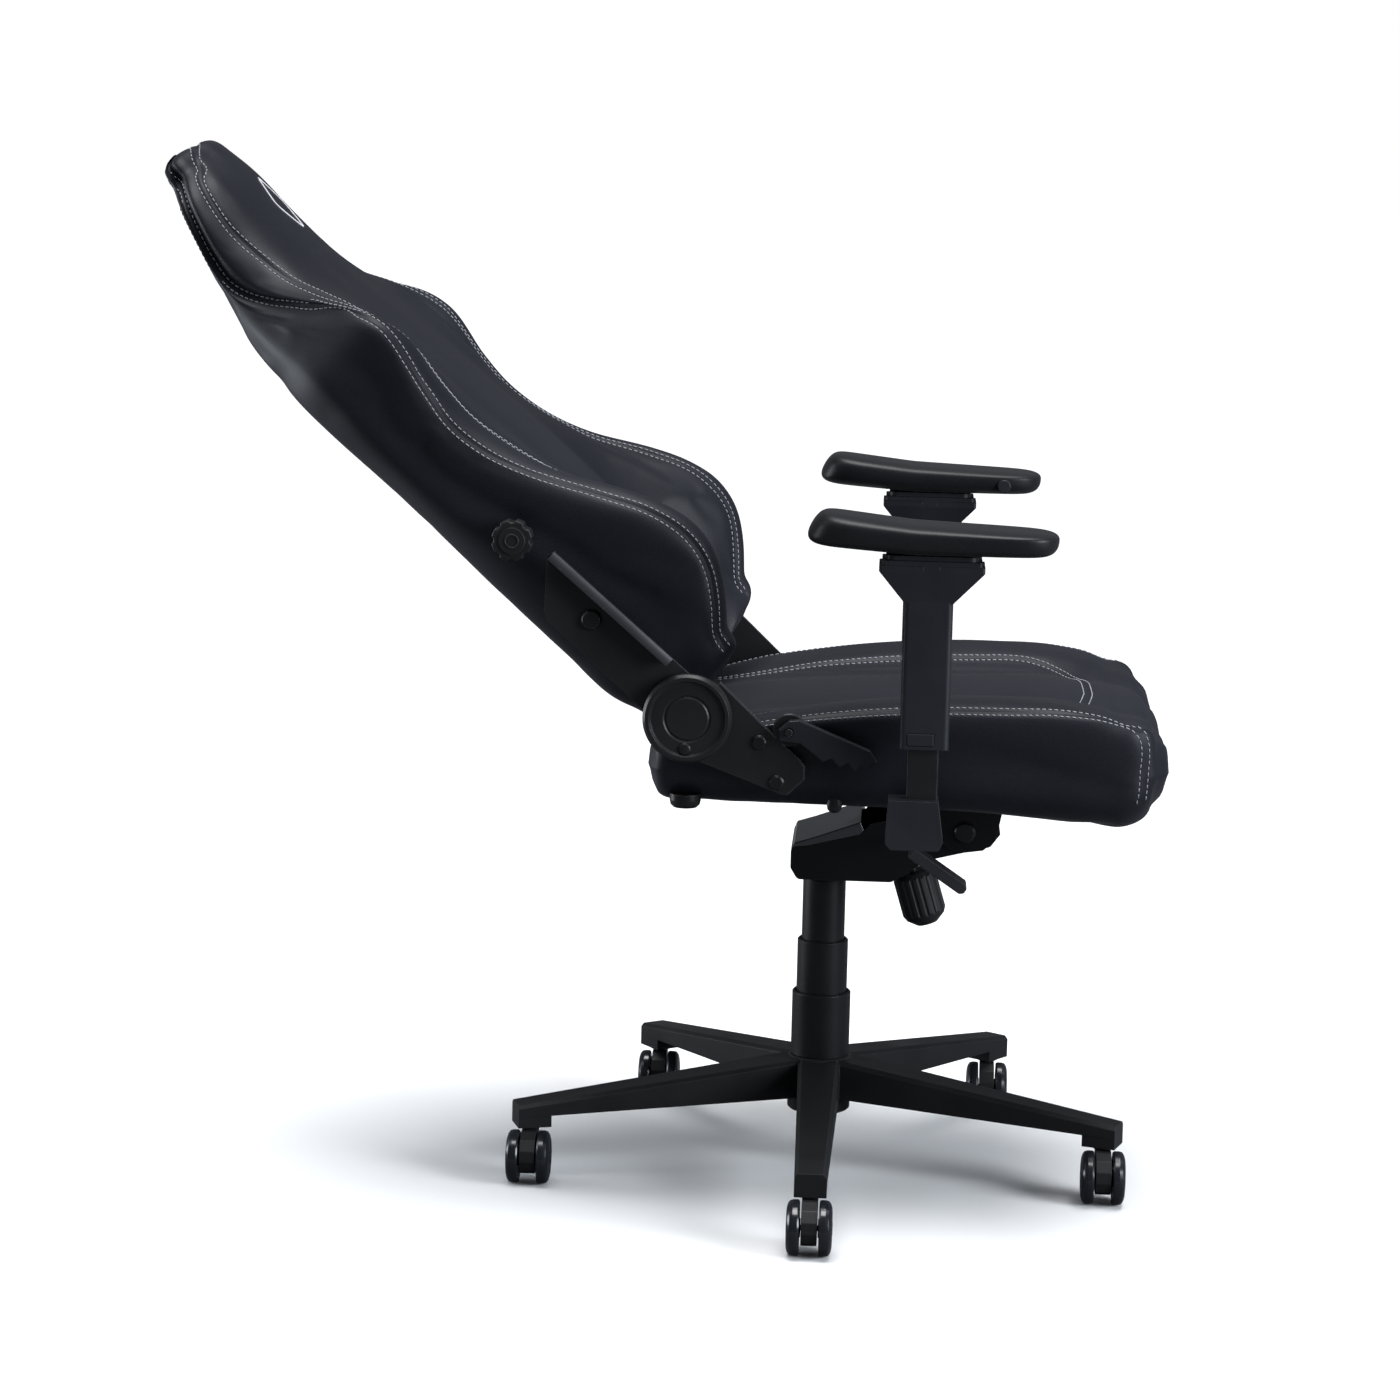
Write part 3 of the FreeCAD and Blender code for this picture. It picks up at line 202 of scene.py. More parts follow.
def coated(name, colour, edge_wear_and_highlight_colour, roughness, grain=1500.0, depth=0.00008, gloss=0.22,
           metallic=0.0):
    """Paint or moulded plastic: a fine grain, cloudy sheen and lighter edges. The edge colour is
    rubbed wear on most finishes and a painted highlight on the glossy cover and the bracket
    plates.
    """
    material, tree, shader, coordinates = new_finish(name, roughness, metallic, gloss)
    rounded, wear_and_highlight_mask = edge_wear_and_highlight(tree, 0.0011)
    patches = noise(tree, coordinates, 14, 5)
    body_colour = tint(tree, between(tree, patches, 0, 1), colour,
                       tuple(part * 1.35 for part in colour))
    # edges take the edge colour: rubbed wear, and on the glossy cover and the bracket plates a
    # painted highlight
    tree.links.new(tint(tree, wear_and_highlight_mask, body_colour, edge_wear_and_highlight_colour), shader.inputs["Base Color"])
    tree.links.new(between(tree, patches, roughness - 0.06, roughness + 0.07),
                   shader.inputs["Roughness"])
    relief(tree, shader, [(noise(tree, coordinates, grain, 2), 0.35, depth)], rounded)
    return material


def dress(material, *names):
    """Give a finish to CAD nodes."""
    for name in names:
        mesh = frame["nodes"][name].data
        mesh.materials.clear()
        mesh.materials.append(material)


star_coat = coated("star_powder_coat", (0.011, 0.011, 0.012), (0.05, 0.05, 0.054), 0.4)
dress(star_coat, "base_star")

# ---------------------------------------------------------------------------------------
# Casters. Nylon fork, steel stem and two glossy moulded wheels, each with a pressed hub cap.

CASTERS = range(1, 6)
fork_nylon = coated("caster_nylon", (0.012, 0.012, 0.013), (0.035, 0.035, 0.038), 0.42, 1900)
wheel_gloss = coated("wheel_gloss", (0.008, 0.009, 0.012), (0.03, 0.032, 0.04), 0.2, 900,
                     0.00003, 0.6)
dress(fork_nylon, *(f"caster_housing_{number}" for number in CASTERS))
dress(wheel_gloss, *(f"caster_wheel_{side}_{number}" for side in "ab" for number in CASTERS))


def sheet_mesh(name, points, material, wrap=True):
    """A piece from a grid of points: quads between rows and columns, the last column
    joined to the first where wrap is set, points that coincide merged."""
    rows, columns = points.shape[:2]
    index = np.arange(rows * columns).reshape(rows, columns)
    after = np.roll(index, -1, axis=1) if wrap else index[:, 1:]
    start = index if wrap else index[:, :-1]
    quads = np.stack([start[:-1], after[:-1], after[1:], start[1:]], axis=-1).reshape(-1, 4)
    mesh = bpy.data.meshes.new(name)
    mesh.from_pydata(points.reshape(-1, 3).tolist(), [], quads.tolist())
    piece = bpy.data.objects.new(name, mesh)
    bpy.context.collection.objects.link(piece)
    close_up(mesh)
    mesh.materials.append(material)
    mesh.shade_smooth()
    return piece


def close_up(mesh):
    """Merge points that coincide and turn every face outwards."""
    import bmesh
    shell = bmesh.new()
    shell.from_mesh(mesh)
    bmesh.ops.remove_doubles(shell, verts=shell.verts, dist=1e-6)
    bmesh.ops.dissolve_degenerate(shell, edges=shell.edges, dist=1e-7)
    bmesh.ops.recalc_face_normals(shell, faces=shell.faces)
    shell.to_mesh(mesh)
    shell.free()


def turned_piece(name, profile, centre, axis, material, sides=48):
    """A turned piece: a (radius, distance along the axis) profile swept round the axis."""
    along = np.array(Vector(axis).normalized())
    across = np.array(Vector(axis).orthogonal().normalized())
    third = np.cross(along, across)
    angle = np.linspace(0, 2 * np.pi, sides, endpoint=False)[None, :, None]
    radius, height = (np.array(profile, float).T[row][:, None, None] for row in (0, 1))
    ring = np.cos(angle) * across + np.sin(angle) * third
    return sheet_mesh(name, np.array(centre) + radius * ring + height * along, material)


def finish_piece(piece, body):
    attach(piece, body)
    return piece


tread_rubber = coated("tread_band", (0.014, 0.014, 0.015), (0.03, 0.03, 0.03), 0.55, 700)
for number in CASTERS:
    for side, outward in (("a", 1), ("b", -1)):
        low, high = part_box(f"caster_wheel_{side}_{number}")
        hub = [(low[0] + high[0]) / 2, (low[1] + high[1]) / 2, (low[2] + high[2]) / 2]
        face = (high[0] - low[0]) / 2 - 0.0008
        cap = [(0, 0.0012), (0.004, 0.0011), (0.0055, 0.0003), (0.0058, 0.0004),
               (0.0066, 0.0012), (0.0072, 0.001), (0.0074, -0.001), (0, -0.001)]
        piece = turned_piece(f"hub_cap_{side}_{number}",
                             [(radius, face + rise) for radius, rise in cap],
                             hub, (outward, 0, 0), wheel_gloss, 32)
        finish_piece(piece, f"wheel_{side}_{number}")

# ---------------------------------------------------------------------------------------
# Gas column. Steel tube and ground rod inside three telescoping plastic covers with a satin skin.

cover_plastic = coated("cover_plastic", (0.006, 0.006, 0.007), (0.03, 0.03, 0.032), 0.38, 1300)
tube_paint = coated("tube_paint", (0.012, 0.012, 0.012), (0.06, 0.06, 0.06), 0.35)


def bare_steel(name, colour, roughness, per_metre=260, stretch=(1, 1, 0.03)):
    """Bare steel with fine lines from grinding and a cloudy film of oil."""
    material, tree, shader, coordinates = new_finish(name, roughness, 1.0)
    lines = noise(tree, coordinates, per_metre, 4, stretch)
    tree.links.new(tint(tree, between(tree, lines, 0, 1), colour,
                        tuple(part * 0.72 for part in colour)), shader.inputs["Base Color"])
    tree.links.new(between(tree, noise(tree, coordinates, 30), roughness - 0.06,
                           roughness + 0.1), shader.inputs["Roughness"])
    relief(tree, shader, [(lines, 0.25, 0.00004)])
    return material


ground_steel = bare_steel("ground_steel", (0.56, 0.57, 0.6), 0.22)
spring_wire = bare_steel("spring_wire", (0.3, 0.3, 0.32), 0.35, 500, (1, 1, 1))
dress(cover_plastic, "column_cover_lower", "column_cover_middle", "column_cover_upper")
dress(tube_paint, "column_tube", "gas_cylinder")
dress(ground_steel, "piston_rod")

# ---------------------------------------------------------------------------------------
# Tilt mechanism. A welded steel tray with a black powder coat, a glossy snap-on cover over
# its rear, a ribbed tension knob and two pressed levers.

tray_coat = coated("tray_powder_coat", (0.004, 0.004, 0.0045), (0.05, 0.05, 0.052), 0.36)
# the cover's near-white edge colour is a painted highlight, standing in for the lights reflected
# on its glossy edges
cover_gloss = coated("cover_gloss", (0.02, 0.021, 0.024), (0.3, 0.3, 0.31), 0.13, 300, 0.00003,
                     0.8)
knob_plastic = coated("knob_plastic", (0.012, 0.012, 0.013), (0.04, 0.04, 0.043), 0.45, 1700)
lever_coat = coated("lever_coat", (0.022, 0.022, 0.024), (0.09, 0.09, 0.095), 0.36)
bolt_black = coated("bolt_black_oxide", (0.014, 0.014, 0.015), (0.1, 0.1, 0.1), 0.34, 900,
                    0.00006, 0.6, 0.6)
dress(tray_coat, "mechanism_housing", "seat_plate")
dress(cover_gloss, "mechanism_cover")
dress(knob_plastic, "tension_knob", "lumbar_knob")
dress(lever_coat, "height_lever", "tilt_lock_lever")
dress(spring_wire, "tilt_spring")

# ---------------------------------------------------------------------------------------
# Seat. Foam on a steel frame in a sewn cover of coated fabric: a low centre panel, a firm
# bolster down each side, deep side panels, and double rows of pale thread at the seams.


def leather(name, colour, lit, roughness=0.5):
    """Coated fabric that looks like smooth leather: pebbles about 1.5 mm across under fine pores,
    with painted shade darkening the crevices between the pebbles, long soft wrinkles, and cloudy
    changes of tone and gloss."""
    material, tree, shader, coordinates = new_finish(name, roughness, 0.0, 0.22)
    shader.inputs["Sheen Weight"].default_value = 0.02
    shader.inputs["Sheen Roughness"].default_value = 0.4
    pebble = tree.nodes.new("ShaderNodeTexVoronoi")
    pebble.feature = "DISTANCE_TO_EDGE"
    pebble.inputs["Scale"].default_value = 620
    tree.links.new(coordinates, pebble.inputs["Vector"])
    cells = between(tree, pebble.outputs["Distance"], 0, 1, 0.0, 0.22)
    wrinkles = noise(tree, coordinates, 34, 5, (1, 0.6, 1))
    patches = noise(tree, coordinates, 5, 4)
    pores = noise(tree, coordinates, 2600, 2)
    shade = tint(tree, between(tree, patches, 0, 1), colour, lit)
    # painted shade: the grain's crevices are painted darker than the pebbles
    crevice_shaded_colour = tint(tree, cells, tuple(part * 0.7 for part in colour), shade)
    tree.links.new(crevice_shaded_colour, shader.inputs["Base Color"])
    tree.links.new(between(tree, patches, roughness - 0.05, roughness + 0.06),
                   shader.inputs["Roughness"])
    relief(tree, shader, [(wrinkles, 0.12, 0.0012), (cells, 0.22, 0.00012),
                          (pores, 0.15, 0.00003)])
    return material


def through(at, points):
    """A smooth curve through (place, value) points: cubic pieces whose slope at each
    point comes from its two neighbours. A plain number stands for a level line."""
    if not isinstance(points, list):
        return np.full(len(at), float(points))
    places, values = np.array(points, float).T
    slopes = np.gradient(values, places)
    at = np.clip(at, places[0], places[-1])
    piece = np.clip(np.searchsorted(places, at) - 1, 0, len(places) - 2)
    gap = places[piece + 1] - places[piece]
    part = (at - places[piece]) / gap
    return (values[piece] * (1 + 2 * part) * (1 - part) ** 2
            + values[piece + 1] * part ** 2 * (3 - 2 * part)
            + gap * slopes[piece] * part * (1 - part) ** 2
            + gap * slopes[piece + 1] * part ** 2 * (part - 1))


def closed_curves(corners, counts):
    """Closed smooth curves through rows of corner points: cubic pieces whose direction at
    a corner is the mean of its two chords, the shorter chord weighing more. counts gives
    the points on each piece."""
    ahead_chord = np.roll(corners, -1, axis=1) - corners
    length = np.linalg.norm(ahead_chord, axis=2, keepdims=True) + 1e-9
    before = np.roll(length, 1, axis=1)
    direction = ((ahead_chord / length) * before
                 + np.roll(ahead_chord / length, 1, axis=1) * length) / (length + before)
    pieces = []
    for corner, count in enumerate(counts):
        after = (corner + 1) % corners.shape[1]
        part = (np.arange(count) / count)[None, :, None]
        size = length[:, corner:corner + 1]
        pieces.append(corners[:, corner:corner + 1] * (1 + 2 * part) * (1 - part) ** 2
                      + corners[:, after:after + 1] * part ** 2 * (3 - 2 * part)
                      + size * direction[:, corner:corner + 1] * part * (1 - part) ** 2
                      + size * direction[:, after:after + 1] * part ** 2 * (part - 1))
    return np.concatenate(pieces, axis=1)


# pieces of the outline from the middle of the underside round one edge to the middle of the
# face, and how many points each has; the widest point is where side_corner starts
UNDER_COUNTS = (18, 13, 5, 10)
FACE_COUNTS = (9, 4, 4, 4, 6, 5, 8, 6)


def cushion_points(half_width, lines, stations, low_cap, high_cap, place):
    """A cushion as a grid of points. Across it, a closed curve runs through 13 lines from
    the middle of the underside, round the edge, to the middle of the face, and back on
    the other side; along it, each line's distance from the edge and its height are smooth
    curves. At each end the outline turns in over a rounding and closes on a line. A cap
    gives the rounding's length, how far the end crowns past it, and how much the outline
    shrinks over it."""
    wide = through(stations, half_width)
    half = np.stack([np.stack([share * wide - through(stations, inset),
                               through(stations, height)], axis=-1)
                     for share, inset, height in lines], axis=1)
    mirrored = half[:, -2:0:-1] * np.array([-1, 1])
    counts = UNDER_COUNTS + FACE_COUNTS
    ring = closed_curves(np.concatenate([half, mirrored], axis=1), counts + counts[::-1])
    quarter = sum(UNDER_COUNTS)
    steps = np.concatenate([np.arange(quarter), quarter - np.arange(quarter)])
    steps = np.concatenate([steps, -steps]) / quarter
    rows, depths = [], []
    for end, (radius, crown, shrink) in ((0, low_cap), (-1, high_cap)):
        outline = ring[end]
        span = outline[:, 0].max() * 0.72
        middle = (outline[:, 1].max() + outline[:, 1].min()) / 2
        target = np.stack([steps * span, np.full(len(steps), middle)], axis=-1)
        sign = -1 if end == 0 else 1
        turn = np.radians([18, 36, 54, 72, 90])
        inner = (1 - shrink) * np.array([0.81, 0.6, 0.38, 0.19, 0.0])
        keep = list(1 - shrink * (1 - np.cos(turn))) + list(inner)
        reach = list(radius * np.sin(turn)) + list(radius + crown * (1 - inner ** 2))
        ends = [target + part * (outline - target) for part in keep]
        places = [stations[end] + sign * part for part in reach]
        rows.append(ends[::-1] if end == 0 else ends)
        depths.append(places[::-1] if end == 0 else places)
    outlines = np.concatenate([np.array(rows[0]), ring, np.array(rows[1])])
    along = np.concatenate([depths[0], stations, depths[1]])
    return place(along[:, None], outlines[:, :, 1], outlines[:, :, 0])


def seam_distance(points, seams):
    """Each point's distance from the nearest seam."""
    nearest = np.full(len(points), 1.0)
    for seam in seams:
        for start in range(0, len(points), 4000):
            block = points[start:start + 4000]
            gap = np.linalg.norm(block[:, None] - seam[None], axis=2).min(axis=1)
            nearest[start:start + 4000] = np.minimum(nearest[start:start + 4000], gap)
    return nearest


def vertex_places(mesh):
    places = np.empty(len(mesh.vertices) * 3)
    mesh.vertices.foreach_get("co", places)
    return places.reshape(-1, 3)


def swell(piece, seams, most):
    """Blow the sewn cover up from inside as cloth held along its seams, then limit how
    far each point has moved, so that the panels crown between the seams."""
    start = vertex_places(piece.data)
    held = np.exp(-(seam_distance(start, seams) / 0.011) ** 2)
    sewn = piece.vertex_groups.new(name="sewn")
    for step in range(1, 11):
        chosen = np.nonzero(np.round(held * 10) == step)[0]
        sewn.add(chosen.tolist(), step / 10, "REPLACE")
    cloth = piece.modifiers.new("swell", "CLOTH")
    cloth.settings.vertex_group_mass = "sewn"
    cloth.settings.use_pressure = True
    cloth.settings.uniform_pressure_force = 4
    cloth.settings.effector_weights.gravity = 0
    cloth.settings.quality = 4
    cloth.point_cache.frame_start, cloth.point_cache.frame_end = 1, 20
    for step in range(1, 21):
        bpy.context.scene.frame_set(step)
    shaped = piece.evaluated_get(bpy.context.evaluated_depsgraph_get())
    moved = vertex_places(shaped.data) - start
    far = np.linalg.norm(moved, axis=1, keepdims=True) + 1e-9
    moved *= np.tanh(far / most) * most / far
    piece.modifiers.remove(cloth)
    piece.vertex_groups.remove(sewn)
    bpy.context.scene.frame_set(1)
    piece.data.vertices.foreach_set("co", (start + moved).ravel())
    piece.data.update()
    print(piece.name, "swelled by", float(np.linalg.norm(moved, axis=1).max()))


def refine(piece):
    """Divide every face into four and smooth, for good."""
    finer = piece.modifiers.new("finer", "SUBSURF")
    finer.levels = finer.render_levels = 1
    shaped = piece.evaluated_get(bpy.context.evaluated_depsgraph_get())
    old = piece.data
    piece.data = bpy.data.meshes.new_from_object(shaped)
    piece.modifiers.remove(finer)
    bpy.data.meshes.remove(old)
    piece.data.shade_smooth()


def even_path(points, spacing):
    """Points evenly spaced along a path."""
    points = np.asarray(points, float)
    run = np.concatenate([[0], np.cumsum(np.linalg.norm(np.diff(points, axis=0), axis=1))])
    places = np.arange(0, run[-1], spacing)
    return np.stack([np.interp(places, run, points[:, axis]) for axis in range(3)], axis=-1)


def surface_tree(piece):
    piece.data.calc_loop_triangles()
    faces = np.empty(len(piece.data.loop_triangles) * 3, int)
    piece.data.loop_triangles.foreach_get("vertices", faces)
    return BVHTree.FromPolygons(vertex_places(piece.data).tolist(),
                                faces.reshape(-1, 3).tolist())


def eased(values, reach=6):
    """A path's values, each averaged with its neighbours up to reach away."""
    weights = np.hanning(2 * reach + 3)[1:-1]
    padded = np.pad(values, ((reach, reach), (0, 0)), mode="edge")
    return np.stack([np.convolve(column, weights / weights.sum(), mode="valid")
                     for column in padded.T], axis=-1)


def laid_on(tree, points):
    """The nearest places on a surface and its normals there."""
    hits = [tree.find_nearest(Vector(point)) for point in points]
    return np.array([hit[0] for hit in hits]), np.array([hit[1] for hit in hits])


def sew(piece, seams):
    """Pull the surface in along its seams: a narrow crease in a wide soft tuck."""
    places = vertex_places(piece.data)
    normals = np.empty(len(places) * 3)
    piece.data.vertices.foreach_get("normal", normals)
    gap = seam_distance(places, seams)
    depth = 0.0016 * np.exp(-(gap / 0.0034) ** 2) + 0.0014 * np.exp(-(gap / 0.012) ** 2)
    places -= normals.reshape(-1, 3) * depth[:, None]
    piece.data.vertices.foreach_set("co", places.ravel())
    piece.data.update()


def stitches(name, piece, seams, material, beside=(-0.0052, 0.0052), pitch=0.0066,
             size=(0.0024, 0.0007, 0.0007), across=False):
    """Rows of thread beside each seam. A stitch is a short capsule of 14 points, laid
    along the seam, or across it for satin stitch, and half sunk in the surface."""
    tree = surface_tree(piece)
    angle = np.arange(6) * np.pi / 3
    rings = [np.stack([np.full(6, end), 0.9 * np.cos(angle), 0.9 * np.sin(angle)], axis=-1)
             for end in (-0.72, 0.72)]
    shape = np.concatenate([[[-1, 0, -0.3]], *rings, [[1, 0, -0.3]]])
    faces = [(0, 1 + (side + 1) % 6, 1 + side) for side in range(6)]
    faces += [(1 + side, 1 + (side + 1) % 6, 7 + (side + 1) % 6, 7 + side) for side in range(6)]
    faces += [(13, 7 + side, 7 + (side + 1) % 6) for side in range(6)]
    points, all_faces = [], []
    for seam in seams:
        line, normal = laid_on(tree, even_path(seam, 0.003))
        line, normal = eased(line), eased(normal, 8)
        heading_along = np.gradient(line, axis=0)
        aside = np.cross(normal, heading_along)
        aside /= np.linalg.norm(aside, axis=1, keepdims=True) + 1e-9
        for shift in beside:
            middle, out = laid_on(tree, even_path(eased(line + aside * shift, 3), pitch))
            out = eased(out, 2)
            out /= np.linalg.norm(out, axis=1, keepdims=True)
            forward = np.gradient(eased(middle, 2), axis=0)
            forward /= np.linalg.norm(forward, axis=1, keepdims=True) + 1e-9
            sideways = np.cross(out, forward)
            axes = np.stack([sideways, -forward, out] if across
                            else [forward, sideways, out], axis=1)
            centre = middle + out * 0.0003
            for place, turn in zip(centre, axes):
                base = len(points) * 14
                points.append(place + (shape * np.array(size)) @ turn)
                all_faces += [tuple(base + corner for corner in face) for face in faces]
    mesh = bpy.data.meshes.new(name)
    mesh.from_pydata(np.concatenate(points).tolist(), [], all_faces)
    mesh.materials.append(material)
    mesh.shade_smooth()
    thread = bpy.data.objects.new(name, mesh)
    bpy.context.collection.objects.link(thread)
    return thread


def thread_finish(name, dark, pale):
    """Bonded polyester thread: pale, slightly shiny, with a twist along it."""
    material, tree, shader, coordinates = new_finish(name, 0.55)
    twist = noise(tree, coordinates, 3200, 2)
    tree.links.new(tint(tree, between(tree, twist, 0, 1), dark, pale),
                   shader.inputs["Base Color"])
    relief(tree, shader, [(twist, 0.5, 0.0001)])
    return material


cover = leather("coated_fabric", (0.0105, 0.011, 0.0165), (0.015, 0.016, 0.024))
thread = thread_finish("pale_thread", (0.22, 0.22, 0.25), (0.45, 0.45, 0.49))
SEAT_BACK, SEAT_FRONT = -0.160, 0.322
seat_half_width = [(-0.160, 0.244), (-0.120, 0.251), (0.0, 0.255), (0.2, 0.255), (0.28, 0.253),
                   (0.322, 0.250)]
seat_under = [(-0.160, 0.467), (-0.120, 0.467), (0.0, 0.4665), (0.2, 0.4625), (0.27, 0.456),
              (0.322, 0.452)]
seat_seam = [(-0.160, 0.533), (-0.070, 0.557), (0.0, 0.567), (0.069, 0.574), (0.187, 0.577),
             (0.270, 0.577), (0.300, 0.573), (0.322, 0.565)]
seat_crest = [(-0.160, 0.536), (-0.108, 0.546), (0.0, 0.570), (0.072, 0.579), (0.137, 0.583),
              (0.200, 0.584), (0.256, 0.581), (0.292, 0.573), (0.322, 0.560)]
seat_middle = [(-0.160, 0.533), (-0.060, 0.546), (0.060, 0.555), (0.180, 0.560),
               (0.270, 0.562), (0.300, 0.559), (0.322, 0.551)]


def raised(line, amount):
    return [(place, height + amount) for place, height in line]


def blended(first, second, part):
    """A line part of the way from one line to another, at the first one's places."""
    places = np.array([place for place, height in first])
    heights = (1 - part) * through(places, first) + part * through(places, second)
    return list(zip(places.tolist(), heights.tolist()))


seat_lines = [
    (0, 0, seat_under), (0.55, 0, seat_under), (1, 0.024, raised(seat_under, 0.001)),
    (1, 0.004, raised(seat_under, 0.020)), (1, 0, blended(seat_under, seat_seam, 0.5)),
    (1, 0.004, seat_seam), (1, 0.020, blended(seat_seam, seat_crest, 0.75)),
    (1, 0.052, raised(seat_crest, -0.001)), (1, 0.098, blended(seat_crest, seat_middle, 0.28)),
    (1, 0.118, blended(seat_crest, seat_middle, 0.7)), (1, 0.142, seat_middle),
    (0.25, 0, raised(seat_middle, 0.004)), (0, 0, raised(seat_middle, 0.006))]


def seat_place(along, height, across):
    return np.stack(np.broadcast_arrays(along, across, height), axis=-1)


stations = np.linspace(SEAT_BACK, SEAT_FRONT, 66)
seat_cover = sheet_mesh("seat_cover", cushion_points(
    seat_half_width, seat_lines, stations, (0.026, 0.010, 0.20), (0.036, 0.018, 0.32), seat_place),
    cover)

# seams: round each side panel, and one loop round the centre panel
seat_seams = []
reach = np.linspace(-0.150, 0.306, 60)
drop = np.radians(np.linspace(0, 90, 16))
for side in (-1, 1):
    outer = through(reach, seat_half_width) - 0.004
    top_run = np.stack([reach, side * outer, through(reach, seat_seam)], axis=-1)
    turn = np.stack([0.306 + 0.036 * np.sin(drop), side * (0.248 - 0.007 * np.sin(drop)),
                     0.573 - 0.038 * (1 - np.cos(drop))], axis=-1)
    down = np.stack([np.full(14, 0.342), np.full(14, side * 0.241),
                     np.linspace(0.530, 0.474, 14)], axis=-1)
    seat_seams.append(np.concatenate([top_run, turn, down]))
around = np.radians(np.linspace(0, 90, 24))
arc_x = 0.205 + 0.085 * np.sin(around)
arc_y = 0.152 * np.cos(around) ** 0.55
long_x = np.linspace(-0.140, 0.200, 40)
half_loop = np.concatenate([np.stack([long_x, np.full(40, 0.152)], axis=-1),
                            np.stack([arc_x, arc_y], axis=-1)])
loop = even_path(np.column_stack([np.concatenate([half_loop, half_loop[::-1] * (1, -1)]),
                                  np.zeros(len(half_loop) * 2)]), 0.006)
below = surface_tree(seat_cover)
seat_seams.append(eased(np.array([below.ray_cast(Vector((x, y, 0.7)), Vector((0, 0, -1)))[0]
                                  for x, y, _ in loop]), 3))


def settled(piece, seams):
    """The seams laid on a piece's surface."""
    tree = surface_tree(piece)
    return [eased(laid_on(tree, even_path(seam, 0.002))[0]) for seam in seams]


def upholster(piece, seams, most):
    """Swell a sewn cover, divide it finer and pull it in at its seams."""
    sewn = settled(piece, seams)
    swell(piece, sewn, most)
    refine(piece)
    sew(piece, settled(piece, sewn))


MOST_SWELL = 0.003
upholster(seat_cover, seat_seams, MOST_SWELL)
finish_piece(seat_cover, "seat")
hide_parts("seat_cushion", "seat_underside")
finish_piece(stitches("seat_stitching", seat_cover, seat_seams, thread), "seat")
frame_paint = coated("frame_paint", (0.02, 0.02, 0.02), (0.08, 0.08, 0.08), 0.45)
dress(frame_paint, "seat_frame", "back_frame", "recliner_cross_rod")
dress(bolt_black, "seat_bolts", "back_bolts")

# ---------------------------------------------------------------------------------------
# Recliner. Laser-cut plates with a satin black coat, round moulded covers with a raised
# rim, and the ribbed recline lever.

# the plates' edge colour is a painted highlight: their bevelled edges are painted bright
plate_coat = coated("plate_powder_coat", (0.014, 0.014, 0.015), (0.13, 0.13, 0.14), 0.34)
rim_plastic = coated("rim_plastic", (0.012, 0.012, 0.013), (0.05, 0.05, 0.053), 0.33, 1200)
dress(plate_coat, "recliner_bracket_right", "recliner_bracket_left", "back_brackets",
      "arm_brackets", "arm_posts")
dress(rim_plastic, "recliner_covers")

# ---------------------------------------------------------------------------------------
# Back. One foam body on a steel frame, in the same sewn cover: wings that hold the hips and
# the shoulders, a narrow waist, and a head panel framed by its own double seam.

hinge = next(joint for joint in frame["joints"] if joint["name"] == "back_recline")
pivot = np.array(hinge["pos_m"])
lean = math.radians(48)
UP = np.array([-math.sin(lean), 0, math.cos(lean)])
OUT = np.array([math.cos(lean), 0, math.sin(lean)])


def back_place(along, out, across):
    """A point from its distance up the back, out of its face and to the sitter's left."""
    along, out, across = np.broadcast_arrays(along, out, across)
    return (pivot + along[..., None] * UP + out[..., None] * OUT
            + across[..., None] * np.array([0, 1, 0]))


def metres(*pairs):
    """Driving points given in millimetres."""
    return [(place / 1000, size / 1000) for place, size in pairs]


back_half_width = metres((32, 238), (60, 250), (130, 256), (210, 256), (300, 250), (400, 246),
                         (490, 249), (540, 240), (575, 215), (610, 188), (650, 167),
                         (700, 154), (750, 143), (775, 131), (790, 116), (800, 101))
rear = metres((32, -38), (60, -44), (120, -45), (560, -46), (620, -46), (672, -34), (707, -24),
              (745, -12), (790, 1), (808, 6))
rear_edge_inset = metres((32, 5), (600, 5), (680, 11), (808, 14))
side_seam = metres((32, 79), (64, 109), (91, 129), (130, 140), (181, 132), (232, 108), (292, 78),
                   (359, 55), (400, 52), (435, 59), (475, 70), (528, 77), (566, 60), (605, 25),
                   (642, -4), (672, -17), (707, -14), (742, -3), (765, 5), (790, 15), (808, 21))
side_seam_inset = metres((32, 3), (560, 3), (620, 5), (808, 7))
ridge_inset = metres((32, 7), (530, 7), (590, 1), (650, -2), (808, -1))
crest = metres((32, 92), (57, 117), (88, 140), (133, 152), (166, 147), (213, 128), (277, 93),
               (321, 78), (390, 68), (437, 72), (507, 84), (545, 75), (570, 62), (605, 38),
               (640, 17), (700, 10), (745, 18), (790, 32), (808, 40))
crest_inset = metres((32, 26), (480, 26), (540, 14), (580, 6), (640, 2), (808, 3))
face_seam = metres((32, 82), (99, 138), (157, 144), (215, 122), (280, 90), (335, 75), (390, 67),
                   (430, 71), (507, 82), (540, 75), (570, 64), (600, 49), (633, 35), (683, 27),
                   (705, 26), (749, 31), (786, 40), (808, 46))
face_seam_inset = metres((32, 42), (300, 44), (400, 52), (480, 48), (540, 26), (580, 13),
                         (640, 11), (808, 14))
slope = metres((32, 68), (99, 108), (157, 116), (215, 102), (280, 82), (335, 71), (400, 66),
               (480, 72), (540, 66), (580, 60), (620, 47), (700, 43), (760, 48), (808, 52))
slope_inset = metres((32, 74), (480, 78), (560, 50), (610, 33), (700, 30), (808, 26))
valley = metres((32, 43), (99, 60), (157, 68), (215, 70), (335, 69), (400, 66), (490, 64),
                (560, 60), (600, 58), (640, 52), (700, 52), (765, 57), (808, 56))
valley_inset = metres((32, 112), (480, 118), (560, 92), (620, 66), (808, 50))
middle = metres((32, 39), (99, 56), (157, 66), (215, 72), (335, 72), (400, 68), (490, 64),
                (560, 60), (600, 57), (640, 58), (700, 60), (765, 65), (808, 63))
